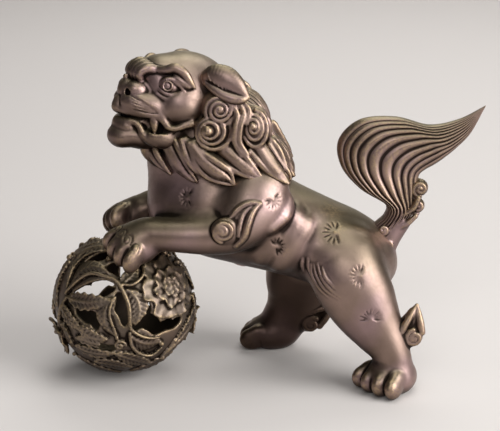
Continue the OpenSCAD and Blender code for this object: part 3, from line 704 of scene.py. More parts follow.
# small half suns of hair: middle, outward direction, the fan's first angle and its sweep, the strokes' reach
rosettes = [
    ((-51.5, 34.8, 133.5), (-0.45, 0.85, 0.3), 60, 230, 4.2),
    ((4.4, 45, 134.6), (0.5, 0.84, 0.25), 190, 210, 4.6),
    ((6.6, 38.7, 100.5), (0.14, 0.97, -0.18), -80, 200, 4.6),
    ((46.5, 31.1, 108.6), (0.1, 0.62, 0.78), 80, 200, 6.2),
    ((62.3, 48.2, 83.5), (0.16, 0.93, 0.32), 80, 190, 5.2),
    ((69.1, 52.1, 54.3), (0.02, 1, 0.06), 0, 185, 5.2),
]
# fur on the front of the thigh
furTufts = [
    [(24.7, 34.4, 91.6), (24.3, 32.8, 87), (25.2, 30.8, 81)],
    [(28, 35.2, 91.5), (28.6, 35, 85), (31, 36, 78.4)],
    [(31.6, 37.4, 88), (33.6, 39.5, 80.6), (39, 44.2, 73), (47.5, 48.4, 67.6)],
    [(33.8, 38.6, 89), (36.6, 41.9, 81.2), (42, 46, 74.2), (49.5, 49.2, 68.8)],
    [(30, 36.4, 88), (31, 37.2, 80), (35.4, 41, 72.6), (41, 45, 67.6)],
    [(37, 41.1, 87), (39.6, 44.2, 81), (45, 47.6, 75.4)],
]
# the shoulder blade's rear edge and the ribs behind it
ribs = [
    [(10, 30.5, 135), (14, 30, 129), (12, 38, 121.5), (4, 43, 115)],
    [(19.5, 22, 122.5), (19.6, 30, 117.5), (14.5, 33.2, 108)],
    [(28, 22, 116.8), (25.6, 29.5, 111), (20, 32.2, 102)],
]


# the height over a level, for cutting off everything below it
def overLevel(level):
    return lambda x, y, z: (z - level + 0 * x + 0 * y).astype(np.float32)


# a level direction, in degrees from -X towards -Y
def headingOf(degrees):
    return np.array([-math.cos(math.radians(degrees)), -math.sin(math.radians(degrees)), 0])


# a paw in its own axes: toes forward along the first, across the second, up the third
def pawOn(clay, origin, axes, size, swirls=False):
    length, width, height = size

    def at(a, b, c):
        return origin + a * axes[0] + b * axes[1] + c * axes[2]
    egg(clay, at(-0.08 * length, 0, 0.45 * height), (0.46 * length, 0.43 * width, 0.5 * height), 6, axes)
    for k in (-1.5, -0.5, 0.5, 1.5):
        spread = math.radians(11 * k)
        heading = np.array([math.cos(spread), math.sin(spread), 0])
        toe = np.array([heading, [-heading[1], heading[0], 0], [0, 0, 1]]) @ axes
        middle = at(length * (0.27 - 0.045 * abs(k)), k * width * 0.25, 0.38 * height)
        egg(clay, middle, (0.23 * length, 0.148 * width, 0.37 * height), 1.6, toe)
        root = middle - 0.11 * length * toe[0] + 0.22 * height * toe[2]
        egg(clay, root, (0.17 * length, 0.13 * width, 0.26 * height), 2.2, toe)
        if swirls:
            knuckle = middle - 0.05 * length * toe[0] + 0.43 * height * toe[2]
            swirl = spiralRows(knuckle, toe[0], toe[1], (3.6, 0.9), 1.5, 90, (0.6, 0.45), 20)
            engrave(clay, swirl, toe[2], 0.4)


# a forepaw with its sole on the ball, leaning back from the ball's outward direction towards upright
def pawOnBall(clay, place, heading, size):
    flat = np.array(place) - ballCentre[:2]
    outward = np.append(flat, math.sqrt(ballRadius ** 2 - flat @ flat)) / ballRadius
    touch = ballCentre + outward * (ballRadius + bodyShape["soleLift"])
    ahead = headingOf(heading)
    ahead = unit(ahead - outward * (ahead @ outward))
    lean = unit(outward + np.array([0, 0, 0.6]))
    ahead = unit(ahead - lean * (ahead @ lean))
    origin = touch - bodyShape["soleSink"] * lean
    pawOn(clay, origin, np.array([ahead, np.cross(lean, ahead), lean]), size, True)


# hairs cut in a fan round a point of the skin; angle 0 points to the tail and 90 up
def rosette(clay, centre, outward, start, sweep, size, strokes=9):
    across = unit(np.array([1.0, 0, 0]) - outward * outward[0])
    upward = np.array([0, 0, 1.0]) - outward * outward[2]
    upward = unit(upward - across * (upward @ across))
    fan = []
    for angle in np.radians(np.linspace(start, start + sweep, strokes)):
        way = math.cos(angle) * across + math.sin(angle) * upward
        stroke = centre + np.outer(np.array([0.35, 0.85, 1.4]) * size, way)
        fan.append(onSkin(clay, stroke, outward) + 0.25 * outward)
    for points in fan:
        strand(clay, np.column_stack([points, (0.55, 0.95, 0.5)]), 0.5, 5, cut=True)


# a curl with a flame at one elbow
def elbowCurl(clay, side):
    middle = both((-26.8, 53.0, 116), side)
    egg(clay, middle, (8.6, 5.2, 8.6), 1.6)
    u, v, rise = (1, 0, 0), (0, 0, 1), (-2.2, 1.4 * side, 0.6)
    rope = spiralRows(middle + (0, 3.6 * side, 0), u, v, (7.2, 2.4), -1.9, 250, (1.6, 1.2), 30, rise)
    strand(clay, rope, 0.6)
    egg(clay, middle + (-2.6, 4.2 * side, 0.8), (3.4, 2.4, 3.4), 0.5)
    for rows, thick in zip(elbowFlame, flameThick):
        strand(clay, both(strandRows(rows, thick), side), 0.7)


# a curl at the back of the hock with a flame rising from it, leaning towards the tail
def hockFlame(clay, side, place, lean):
    axes = turned(0, lean)

    def at(rows):
        return both(place + np.array(rows, float) @ axes, side)
    egg(clay, at((-0.5, 0, 11)), (5.5, 3.6, 9), 1.5, axes)
    egg(clay, at((0, 0, 0)), (7.5, 6.5, 7.5), 3)
    ridges = ([(-10, 3.5, -2), (-7, 4.5, 6), (-3, 3, 14), (1, 0, 22)],
              [(6, 4, 4), (4.5, 3, 10), (3, 1.5, 16), (1.5, 0, 22)])
    for flank in (-1, 1):
        middle, rise = at((1, 5.2 * flank, 0)), (0, 0.5 * side * flank, 0)
        strand(clay, spiralRows(middle, axes[0], axes[2], (5.8, 0.8), 1.7, 100, (1.6, 1.2), 22, rise), 0.5)
        for rows in ridges:
            strand(clay, strandRows(at(np.array(rows) * (1, flank, 1)), (2.4, 2.6, 2.0, 0.7)), 0.8)


# the ornament and the fur on one side
def dressSide(clay, side):
    elbowCurl(clay, side)
    for centre, out, start, sweep, size in rosettes:
        rosette(clay, both(centre, side), unit(both(out, side)), start, sweep, size)
    for rows in furTufts:
        rows = np.array(rows) - bodyShape["furShift"][side]
        strand(clay, both(strandRows(rows, (0.6, 1.3, 1.2, 0.5)), side), 0.5)
    for rows in ribs:
        strand(clay, both(strandRows(rows, (2.0, 4.0, 3.6, 2.0)), side), 5)


# distance to a ball a little larger than the real one
def roundBall(x, y, z):
    away = np.sqrt((x - ballCentre[0]) ** 2 + (y - ballCentre[1]) ** 2 + (z - ballCentre[2]) ** 2)
    return (away - ballRadius - bodyShape["ballGap"]).astype(np.float32)


# the whole skin of trunk, neck and legs, with the coarse form of each part to tell whose skin it is
def sculptBody():
    coarse = Clay(*bodyShape["block"], bodyShape["pitch"])
    forms = {"trunk": np.minimum(limb(coarse, trunkRows, 0), limb(coarse, neckRows, 12))}
    for side, word in ((near, "left"), (far, "right")):
        forms[word + "_hind_leg"] = limb(coarse, both(hindRows[side], side), 9)
        forms[word + "_foreleg"] = limb(coarse, both(foreRows[side], side), 8)
        for centre, radii, yaw, pitch, blend in muscles:
            egg(coarse, both(centre, side), radii, blend, turned(yaw, pitch))
    fine = refine(coarse, 2)
    for centre, heading, size in bodyShape["hindPaws"]:
        ahead = headingOf(heading)
        pawOn(fine, np.array(centre, float), np.array([ahead, np.cross([0, 0, 1], ahead), [0, 0, 1]]), size)
    for place, heading, size in bodyShape["forePaws"]:
        pawOnBall(fine, place, heading, size)
    for side in (near, far):
        dressSide(fine, side)
    for side, (place, lean) in bodyShape["hockFlames"].items():
        hockFlame(fine, side, np.array(place), lean)
    low, high = bodyShape["block"]
    fine.shape(low, (high[0], high[1], 0.5), overLevel(0), 1.0, cut=True)
    reach = ballRadius + bodyShape["ballGap"]
    fine.shape(ballCentre - reach, ballCentre + reach, roundBall, 0.6, cut=True)
    return coarse, forms, fine


# the wear of the body and its painted shade: rubbed places are added, and the insides of the legs get painted
# shade
def bodyLayersOf(points, faces):
    layers = reliefLayers(points, faces)
    sideways = np.abs(points[:, 1])
    facing = -normalsOf(points, faces)[:, 1] * np.sign(points[:, 1])
    # painted shade on the legs' inner sides, the faces that look towards the middle plane
    legShade = np.clip(facing, 0, 1) * np.clip((sideways - 8) / 12, 0, 1)
    layers["paintedShade"] = np.maximum(layers["paintedShade"], 1.2 * legShade)
    for place, size, strength in handled:
        layers["wear"] += strength * np.exp(-(((points - place) / size) ** 2).sum(axis=1))
    return layers


# cuts the skin where one part's form comes nearer than another's, and the trunk at the waist
def castBody():
    coarse, forms, body = sculptBody()
    points, faces = skinOf(body)
    points[:, 2] = np.maximum(points[:, 2], 0)
    reach = [sampleField(form, coarse.low, coarse.pitch, points) for form in forms.values()]
    owner = np.stack(reach, axis=1).argmin(axis=1)[faces[:, 0]]
    regions = {name + "_casting": (name, owner == i) for i, name in enumerate(forms)}
    trunk, behind = owner == 0, points[faces[:, 0], 0] > bodyShape["waist"]
    regions["trunk_casting"] = ("trunk", trunk & ~behind)
    regions["trunk_rear_casting"] = ("trunk", trunk & behind)
    castRegions(points, faces, bodyLayersOf(points, faces), regions)


castBody()
print("body and legs ready")

# the head is worked facing -X and level, then turned to its left and lifted
headShape = {"centre": np.array([-42, 0, 190.0]), "axes": turned(24, 12), "whiskers": 5,
             "block": ((-68, -34, -43), (22, 34, 37)), "pitch": 0.55}
# the skull, the muzzle and the jaw: centre, radii, blend, yaw
skull = [
    ((-14, 0, 6), (32, 28.5, 26), 0, 0), ((-36.5, 0, 11), (12.5, 17.5, 14.6), 7, 0),
    ((-30, 0, -8), (27, 24, 15), 6, 0), ((-45, 0, 0), (15.5, 12, 8.5), 5, 0),
    ((-40, 0, -27), (20, 16.5, 9.5), 4, 0), ((-53.4, 0, -29.6), (8.6, 11.5, 7.6), 3, 0),
    ((-52, 0, -21.5), (8, 12, 5), 2, 0), ((-12, 0, -20), (24, 22, 17), 6, 0),
]
# the cheek, the jowl, the nostril's wing and the jaw's corner on each side
cheeks = [
    ((-21, 21.5, -1.5), (13.5, 9.6, 12), 5, 0), ((-47, 11.5, -5.4), (14.5, 8.2, 8.2), 2.5, 33),
    ((-50.5, 8, 3.2), (7.4, 6.6, 5.8), 1.6, 0), ((-31, 18, -24), (12, 7, 8), 4, 0),
]
noseTip = [((-54.6, 0, 3), (6, 7, 6.2), 2, 0), ((-59, 0, -8), (3.6, 4.6, 5.6), 1.2, 0)]
# lines of the face, on its right side: rows of x, y, z, radius
lipRows = [
    (-58.5, 0, -10.5, 3.4), (-55.5, 6.5, -11.5, 3.0), (-51, 12, -11, 2.6), (-44, 16.5, -10.8, 2.3),
    (-37.5, 20.3, -10.6, 2.3), (-34, 22.4, -14, 2.4), (-30, 24.3, -17, 2.4), (-26, 26, -16.3, 2.3),
    (-21.5, 27.6, -13.4, 2.3), (-17.5, 28.8, -11.6, 2.6),
]
mouthRows = [
    (-61, 0, -15.6, 1.1), (-53, 10, -15, 1.4), (-47, 15, -14.8, 2.0), (-41.5, 18.5, -17, 4.2),
    (-38, 20.5, -18.2, 4.4), (-33.5, 23.5, -19.3, 1.8), (-27, 27, -19.3, 1.1), (-19, 30, -15.8, 1.0),
]
lowerLipRows = [
    (-57.5, 0, -19.5, 2.6), (-54.5, 7.5, -18.5, 2.4), (-50, 11.5, -17.5, 2.2), (-46.8, 14, -20, 2.1),
    (-44.6, 16, -24, 2.1), (-41, 17.8, -27, 2.1), (-36.5, 19.5, -29.2, 2.0),
]
browRows = [
    (-43, 12.5, 18.5, 2.0), (-37.6, 18.6, 19.6, 2.9), (-33.2, 22.4, 22, 3.3), (-28.2, 25.8, 20.2, 3.1),
    (-24.4, 28, 16.2, 2.4), (-20.4, 29.6, 11.8, 1.0),
]
lidRows = {
    "upper": [(-40, 16.8, 8.4, 0.8), (-38, 20, 13.2, 1.3), (-34, 22.6, 14.6, 1.5), (-29.5, 25.4, 11.6, 1.3),
              (-26, 27, 8.6, 0.8)],
    "lower": [(-40, 16.8, 8.4, 0.8), (-38.6, 19.5, 5.8, 1.1), (-34.5, 22.4, 4.6, 1.2), (-30, 24.8, 6, 1.1),
              (-26, 27, 8.6, 0.8)],
    "fold": [(-40.5, 17.6, 3.6, 0.7), (-36, 21.6, 1.5, 1.1), (-30, 25.2, 2.2, 1.1), (-24, 28.4, 6.5, 0.6)],
}
nostrilRows = [(-50.5, 8.6, 8.2, 1.6), (-46, 11, 7.2, 2.0), (-43.6, 13.4, 3.4, 2.1), (-45.4, 14.4, -0.6, 1.8),
               (-49, 13, -2, 1.2)]
fangRows = [(-40, 18, -10, 3.3), (-39.3, 19.2, -15.5, 2.9), (-38.7, 20, -19.5, 1.8), (-38.5, 20.2, -23, 0.5)]


def fromHead(points):
    return headShape["centre"] + points @ headShape["axes"]


# one eye: a ball in its socket, the lids, the brow over it and the ring round the iris
def eyeOn(clay, side):
    egg(clay, both((-35.3, 23.8, 10.3), side), (7.6, 4.4, 5.4), 2, turned(side * 28), cut=True)
    egg(clay, both((-34, 19.8, 9.8), side), (6.4, 4.6, 5.0), 0.4, turned(side * 30))
    for rows in lidRows.values():
        strand(clay, both(rows, side), 0.8, 14)
    strand(clay, both(browRows, side), 1.6, 18)
    egg(clay, both((-27.8, 25.2, 14.2), side), (7.5, 3, 3), 0.9, turned(side * 33, 25))
    iris, u, v = both((-36.7, 23.5, 10), side), unit(np.array([0.86, 0.5 * side, 0])), (0, 0, 1)
    for radius, thick, cut in ((3.1, 0.6, False), (1.9, 0.5, True)):
        strand(clay, spiralRows(iris, u, v, (radius, radius), 1, 0, (thick, thick)), 0.2, cut=cut)


# lips, nostril, fang and the curl at the corner of the jaw
def mouthOn(clay, side):
    strand(clay, both(lipRows, side), 2.6, 28)
    strand(clay, both(nostrilRows, side), 0.9, 12)
    egg(clay, both((-55, 8, 0.8), side), (3.4, 3.2, 3.2), 0.8, cut=True)
    strand(clay, both(mouthRows, side), 0.9, 24, cut=True)
    strand(clay, both(lowerLipRows, side), 1.8, 18)
    strand(clay, both(fangRows, side), 0.5, 8)
    u, v = (-0.9, 0.42 * side, 0), (0, 0, 1)
    strand(clay, spiralRows(both((-34, 20.3, -27.6), side), u, v, (0.6, 3.4), 1.3, 20, (1.4, 1.3)), 0.4)


# lines cut into the upper lip, thickest at the middle
def whiskersOn(clay, side):
    thick = 0.3 + 0.45 * np.sin(np.linspace(0, math.pi, 12))
    for k in range(headShape["whiskers"]):
        line = [(-56 + 0.6 * k, 11.4 + 0.9 * k, -0.8 - 2.1 * k), (-50 + k, 17.2 + 0.5 * k, -2.8 - 1.7 * k),
                (-40.5 + 0.5 * k, 21.2, -6.8 - 0.6 * k)]
        rows = np.column_stack([curveThrough(line, 12), thick])
        engrave(clay, both(rows, side), unit(both((-0.45, 0.88, 0.1), side)), 0.5)


# strands that fall over the brow from the middle
def forelockOn(clay):
    egg(clay, (-49, 0, 15.5), (6.5, 11, 6), 2)
    for k in range(-3, 4):
        y, out = 3.6 * k, abs(k)
        back = -43 + 0.9 * out
        strand(clay, [(back, y * 1.2, 19.5 - 0.6 * out, 3.0), (back - 6, y * 1.1, 20.6 - 0.8 * out, 3.3),
                      (back - 10, y, 17.6 - 0.5 * out, 3.1), (back - 11.6, y * 0.95, 13, 2.6),
                      (back - 9.6, y * 0.9, 9.6, 2.0)], 0.35, 14)
    egg(clay, (-57, 0, 9.6), (1.9, 1.9, 1.9), 0.4)


def castHead():
    clay = Clay(*headShape["block"], headShape["pitch"])
    eggs(clay, skull)
    for side in (near, far):
        eggs(clay, cheeks, side)
    eggs(clay, noseTip)
    for side in (near, far):
        eyeOn(clay, side)
        mouthOn(clay, side)
        whiskersOn(clay, side)
    forelockOn(clay)
    points, faces = skinOf(clay)
    makePiece("head_casting", fromHead(points), faces, "head", bronze, reliefLayers(points, faces))


castHead()
print("head ready")

maneShape = {
    "block": ((-84, -47, 130), (28, 47, 212)), "pitch": 0.64,
    "curlShift": {near: (0, 0, 0), far: (3, 0, 4)},  # the right curls sit further forward and lower
    "backHair": (2.6, 7.6, 12.6, 17.6, 22.6, 27.4),  # how far from the middle plane each wavy strand lies
    "beard": 3,  # strands on each side of the middle one
}
# the mass under the locks: centre, radii, blend, yaw
maneForms = [
    ((-34, 0, 184), (25, 31, 22), 0, 0), ((-27, 0, 168), (30.5, 38.5, 21), 6, 0),
    ((-12, 0, 154), (27, 37, 15), 8, 0), ((-2, 0, 143), (22, 26, 12), 8, 0),
    ((-58, 0, 166), (22, 26, 15), 8, 0), ((-19, 0, 180), (20, 38.5, 19), 6, 0),
]
# spiral curls: centre, width against height, radii, turns, start angle, thickness, shift of the inner end
maneCurls = [
    ((-30.5, 37, 192), 1.0, (11, 1.8), -3.1, 70, (1.6, 1.0), (0.8, 4.6, 0.6)),
    ((-34, 38.5, 177.5), 1.0, (12, 3.0), -2.9, 50, (1.7, 1.0), (-3.6, 4.4, 1.6)),
    ((-7.5, 35.5, 178.5), 0.68, (12.8, 2.0), -3.0, 85, (1.6, 1.0), (-1.2, 4.6, 3.0)),
    ((-26, 31, 202), 0.9, (7.4, 1.5), -1.8, 120, (1.7, 1.1), (0, 3.6, 0)),
]
# flame locks: each is a few ridges that meet at the tip, given for the right side
maneLocks = [
    [[(-72.3, 27, 174.7), (-67.1, 30, 172.9), (-62.6, 32, 166.8), (-60.1, 33, 159.1), (-54.4, 34, 150.7),
      (-46.5, 35, 144.3)],
     [(-60.6, 32, 173.8), (-56.7, 35, 166.6), (-53.5, 36, 159.8), (-49.7, 36.5, 152.2), (-45.0, 36, 144.2)],
     [(-66, 26, 167), (-63.5, 29, 160), (-58.5, 31.5, 152), (-50, 33.5, 145.5), (-45, 35, 143.6)]],
    [[(-50.0, 36, 167.5), (-46.4, 38.5, 157.7), (-39.4, 39.5, 149.0), (-30.4, 40.5, 144.9),
      (-20.5, 40.5, 142.8)],
     [(-46.4, 37, 168.4), (-41.2, 40, 160.8), (-34.2, 41.5, 154.5), (-26.5, 41.5, 149.4),
      (-20.5, 41, 143.4)],
     [(-43.2, 38, 166.7), (-35.5, 40.5, 161.2), (-28.4, 41.5, 156.5), (-23, 41.5, 151.8),
      (-20.5, 41, 144.5)]],
    [[(-36.2, 38, 163.4), (-25.9, 39.5, 156.0), (-17.0, 40.5, 151.0), (-9.3, 41, 147.9), (-2.4, 40, 146.2)],
     [(-25.9, 38.5, 166.9), (-19.5, 40.5, 160.9), (-12.2, 41, 153.6), (-2.6, 40, 146.9)],
     [(-20.8, 38, 170.6), (-14.4, 39.5, 163.2), (-8.0, 40, 155.3), (-2.2, 39.5, 147.6)]],
    [[(-10.6, 37, 165.1), (-4.2, 38.5, 157.4), (3.6, 38.5, 149.4), (14.3, 37.5, 142.9)],
     [(-4.8, 36, 165.5), (0.3, 37.5, 156.8), (6.8, 37.5, 149.5), (14.6, 37, 143.3)],
     [(-0.9, 33.5, 167.0), (4.2, 35, 158.3), (10.0, 35.5, 149.9), (15.0, 36.5, 143.5)]],
    [[(-79, 20, 172), (-77, 22.5, 163), (-71.5, 25.5, 154), (-63, 28, 147.5)],
     [(-74, 23.5, 170), (-71.5, 26, 161), (-66.5, 28, 153), (-62.5, 28.4, 147)]],
    [[(-55, 35.2, 172), (-51.5, 37.6, 161), (-45.5, 38.6, 152), (-36, 39, 146)],
     [(-50, 36.6, 170), (-46, 38.2, 160), (-41, 39, 152.5), (-35.5, 39.2, 146)]],
    [[(2, 30, 168), (8.5, 31, 157), (16.5, 30, 146)],
     [(5.5, 26.5, 168), (11.5, 27.5, 157.5), (18, 28, 146.5)]],
]
# ridges between the curls
maneWaves = [
    [(-23, 37.5, 197), (-18.6, 38.5, 190), (-20, 40, 182), (-20.5, 40, 172), (-16, 40.5, 163)],
    [(-20, 36, 199), (-14.6, 37.5, 191), (-16.4, 39.5, 182), (-17, 39.8, 172), (-12, 40, 164)],
    [(-18, 34.5, 200), (-11, 36, 192), (-13, 38.6, 184)],
    [(-48, 32, 183), (-44, 35, 181.5), (-41, 36.5, 178)],
]


# a rope wound into a spiral on an egg, with a small boss in the middle
def maneCurl(clay, side, centre, slim, radii, turns, start, thick, drift):
    centre = both(centre, side) - maneShape["curlShift"][side]
    drift = both(drift, side)
    egg(clay, centre * (1, 0.8, 1), (radii[0] * slim + 1.2, 11.2, radii[0] + 1.2), 2)
    u, v = (slim, 0, 0), (0, -0.12 * side, 1.0)
    strand(clay, spiralRows(centre, u, v, radii, turns, start, thick, 48, drift), 0.7)
    egg(clay, centre + drift * (1, 0.8, 1), (radii[1] + 0.5, radii[1] + 0.3, radii[1] + 0.5), 0.5)


# a lock's body lies under the mean of its ridges
def maneLock(clay, side, ridges):
    body = np.mean([curveThrough(rows, 12) for rows in ridges], axis=0)
    root = 1.9 * len(ridges)
    thick = np.interp(np.linspace(0, 1, 12), (0, 0.6, 1), (root, root, 1.8))
    strand(clay, both(np.column_stack([body - (0, 3.0, 0), thick]), side), 1.4)
    for rows in ridges:
        strand(clay, both(strandRows(rows, (1.8, 2.4, 2.2, 1.5, 0.8)), side), 0.7)


# a wavy strand down the back of the neck, laid on the skin
def backHair(clay, side, y):
    line = [(-13, y, 196), (-5, y, 184), (2, y, 170), (8, 1.06 * y, 157), (16, 1.12 * y, 144)]
    rows = strandRows(line, (1.2, 2.0, 2.0, 1.0), 24)
    rows[:, 1] += 1.3 * np.sin(np.linspace(0, 2 * math.pi, 24))
    rows = both(rows, side)
    skin = onSkin(clay, rows[:, :3], unit(np.array([0.8, 0.018 * y * side, 0.6])), 14)
    strand(clay, np.column_stack([skin, rows[:, 3]]), 0.9)


# strands that hang under the chin
def beard(clay):
    for k in range(-maneShape["beard"], maneShape["beard"] + 1):
        y, out = 5.5 * k, abs(k)
        line = [(-78 + out, y - 8, 170), (-82 + out, y * 1.05 - 5, 163), (-79.5 + 2 * out, y * 1.1 - 2, 154),
                (-73 + 2 * out, y, 145 + out)]
        strand(clay, strandRows(line, (3, 3.6, 3, 1)), 0.6)


def castMane():
    clay = Clay(*maneShape["block"], maneShape["pitch"])
    eggs(clay, maneForms)
    for side in (near, far):
        for curl in maneCurls:
            maneCurl(clay, side, *curl)
        for ridges in maneLocks:
            maneLock(clay, side, ridges)
        for rows in maneWaves:
            strand(clay, both(strandRows(rows, (1.2, 1.8, 1.8, 1.2), 18), side), 1.6)
        for y in maneShape["backHair"]:
            backHair(clay, side, y)
    beard(clay)
    points, faces = skinOf(clay, 3)
    right = points[faces[:, 0], 1] >= 0
    regions = {"mane_left_casting": ("mane", ~right), "mane_right_casting": ("mane", right)}
    castRegions(points, faces, reliefLayers(points, faces), regions)


castMane()
print("mane ready")

earShape = {"block": ((-46, -45, 190), (-6, -18, 226)), "pitch": 0.55, "hairs": 7}
# rows of x, y, z, half width, half depth
earBlade = [
    (-38, -29, 212.8, 4.5, 4), (-33, -31.2, 213.8, 6, 7.2), (-26, -33.4, 211.6, 6.6, 8.4),
    (-20, -35.8, 207.6, 5.4, 7), (-15.5, -37.6, 203.6, 3.8, 4.4), (-12, -38.8, 200.9, 1.8, 1.6),
]
# rows of x, y, z, radius
earRim = [
    (-38.5, -32, 208.5, 2.2), (-33, -35.5, 205, 3.0), (-27, -38, 201.8, 3.6), (-20.8, -39.5, 199.8, 3.8),
    (-15.8, -39.8, 199.4, 3.0), (-11.8, -39, 200.6, 1.4),
]


# the left ear; the right one is its mirror image in the head's own middle plane
def castEars():
    clay = Clay(*earShape["block"], earShape["pitch"])
    limb(clay, earBlade, 0, 1.5)
    strand(clay, earRim, 0.7, 18)
    egg(clay, (-37, -26, 211), (6, 6, 6), 3)
    for k in range(earShape["hairs"]):  # short hairs above the rim
        x, z = -36.6 + 2.7 * k, 212.4 - 1.5 * k - 0.05 * k * k
        y = -35.6 - 0.9 * k + 0.03 * k * k
        hair = [(x - 1.2, y + 0.8, z + 3.4, 0.4), (x - 0.4, y - 0.2, z + 0.8, 0.65),
                (x + 0.8, y - 0.9, z - 1.6, 0.5)]
        strand(clay, hair, 0.3, 6)
    points, faces = skinOf(clay)
    layers = reliefLayers(points, faces)
    makePiece("left_ear_casting", points, faces, "left_ear", bronze, layers)
    mirrored = both((points - headShape["centre"]) @ headShape["axes"].T, -1)
    makePiece("right_ear_casting", fromHead(mirrored), faces[:, ::-1], "right_ear", bronze, layers)


castEars()
print("ears ready")

tailShape = {"rings": 300, "around": 190, "ridges": 10, "voluteBlock": ((76, -11, 78), (114, 11, 142)),
             "volutePitch": 0.6}
# the plume's two edges in the X-Z plane: outer x, z, inner x, z, half thickness
plumeRows = [
    (72, 97, 77, 82, 7.5), (74, 105, 84, 90, 8), (81, 112, 94, 103, 8.6), (81, 120, 101, 114, 9),
    (64, 130.5, 103, 127, 9.4), (51, 146, 104, 139, 9.6), (49, 164, 108, 143.5, 9.5),
    (63, 178, 114, 147, 9), (87, 180, 121, 152, 8), (110, 174.5, 129, 159, 6.5), (130, 178.5, 138, 169, 4),
    (147.2, 187.6, 146.8, 186.4, 0.6),
]
# the curls in front of the plume: x, z, radius, and the stem that runs into each
volutes = [
    (104.6, 131, 5.2, [(92, 6, 112), (100, 7, 118), (103.5, 6.5, 125)]),
    (103.2, 118.5, 4.6, [(88, 6, 103), (96, 7, 107), (102, 6.5, 112.5)]),
]
rootCurls = [(83, 92.5, 4.4), (80, 103, 3.6)]  # small curls at the root: x, z, radius


# a grid of rings along the tail: across runs from the outer edge to the inner one and back, and the half
# thickness is a flattened circle cut by grooves, which are |sin| of the place across
def plume():
    rings, around = tailShape["rings"], tailShape["around"]
    rows = curveThrough(plumeRows, rings)
    theta = np.linspace(0, 2 * math.pi, around, endpoint=False)
    across = 0.5 - 0.5 * np.cos(theta)
    along = np.linspace(0, 1, rings)[:, None]
    lean = across[None, :] + 0.06 * np.sin(2 * math.pi * across)[None, :] * np.sin(math.pi * along)
    groove = np.abs(np.sin(math.pi * tailShape["ridges"] * lean)) ** 0.8
    depth = np.interp(along, (0, 0.12, 0.9, 1), (0.08, 0.2, 0.22, 0.08))
    body = np.sign(np.sin(theta)) * np.abs(np.sin(theta)) ** 0.75
    y = rows[:, 4:5] * body[None, :] * (1 - depth + depth * groove)
    x = rows[:, 0:1] + (rows[:, 2:3] - rows[:, 0:1]) * across[None, :]
    z = rows[:, 1:2] + (rows[:, 3:4] - rows[:, 1:2]) * across[None, :]
    points = np.stack([x, y, z], axis=2).reshape(-1, 3)
    i, j = np.meshgrid(np.arange(rings - 1), np.arange(around), indexing="ij")
    k = (j + 1) % around
    quad = [i * around + j, (i + 1) * around + j, (i + 1) * around + k, i * around + k]
    faces = trianglesOf(np.stack(quad, axis=2).reshape(-1, 4))
    last, ring = (rings - 1) * around, np.arange(around)
    after = np.roll(ring, -1)
    ends = np.array([points[:around].mean(axis=0), points[last:].mean(axis=0)])
    root = np.stack([np.full(around, len(points)), ring, after], axis=1)
    tip = np.stack([np.full(around, len(points) + 1), last + after, last + ring], axis=1)
    return np.vstack([points, ends]), np.vstack([faces, root, tip])


def sculptVolutes():
    clay = Clay(*tailShape["voluteBlock"], tailShape["volutePitch"])
    strand(clay, [(80, 0, 84, 8.5), (84, 0, 96, 9.0), (92, 0, 108, 8)], 3, 10)
    u, v = (1, 0, 0), (0, 0, 1)
    for side in (near, far):
        for x, z, r, stem in volutes:
            egg(clay, (x, 0, z), (r + 0.6, 6.0, r + 0.6), 1.0)
            rise = (0, 1.4 * side, 0)
            rope = spiralRows((x, 4.6 * side, z), u, v, (r, 0.8), -1.6, -90, (1.7, 1.2), 20, rise)
            strand(clay, rope, 0.4)
            strand(clay, both(strandRows(stem, (1.6, 2.0, 1.8)), side), 0.8)
        for x, z, r in rootCurls:
            rise = (0, 0.8 * side, 0)
            rope = spiralRows((x, 8.2 * side, z), u, v, (r, 0.6), 1.5, 200, (1.3, 1.0), 18, rise)
            strand(clay, rope, 0.5)
    return clay


def castTail():
    points, faces, layers = joined(plume(), skinOf(sculptVolutes()))
    makePiece("tail_casting", points, faces, "tail", bronze, layers)


castTail()
print("tail ready")

ballShape = {"pitch": 0.78, "wall": 2.2, "relief": 2.9, "leafThick": 1.5, "veinMm": 3.0, "petalThick": 1.5,
             "heart": 2.2}
wallOuter = ballRadius - ballShape["relief"]  # the wall's outer radius; leaves and petals stand over it
# openings right through the wall: azimuth, elevation and radius along each
piercings = [
    [(-42, 22, 2.6), (-34, 26, 3.8), (-24, 29, 5.2), (-15, 31, 5.6), (-9, 32, 4.0)],
    [(-12, 49, 2.6), (-5, 49, 4.2), (3, 45, 3.6)], [(-46, 50, 3.0), (-36, 58, 4.2), (-24, 62, 4.0)],
    [(30, 53, 2.4), (38, 53, 3.0), (44, 50, 2.0)], [(1, 25, 2.6), (2, 17, 4.4), (5, 10, 3.6), (5, 3, 2.0)],
    [(-35, 9, 3.4), (-27, 6, 4.6), (-20, 5, 4.6), (-19, -1, 2.6)],
    [(13, -1, 3.0), (20, 4, 5.0), (28, 0, 5.4), (31, -5, 4.0)],
    [(32, -7, 3.2), (41, -4, 4.0), (50, -5, 3.6), (57, -4, 2.4)], [(24, 22, 2.2), (25, 12, 2.6)],
    [(-22, -15, 2.0), (-14, -20, 2.6), (-5, -20, 2.2)], [(14, 44, 2.2), (19, 46, 2.6)],
    [(-76, 8, 3.0), (-80, 18, 4.0), (-82, 28, 3.0)],
]
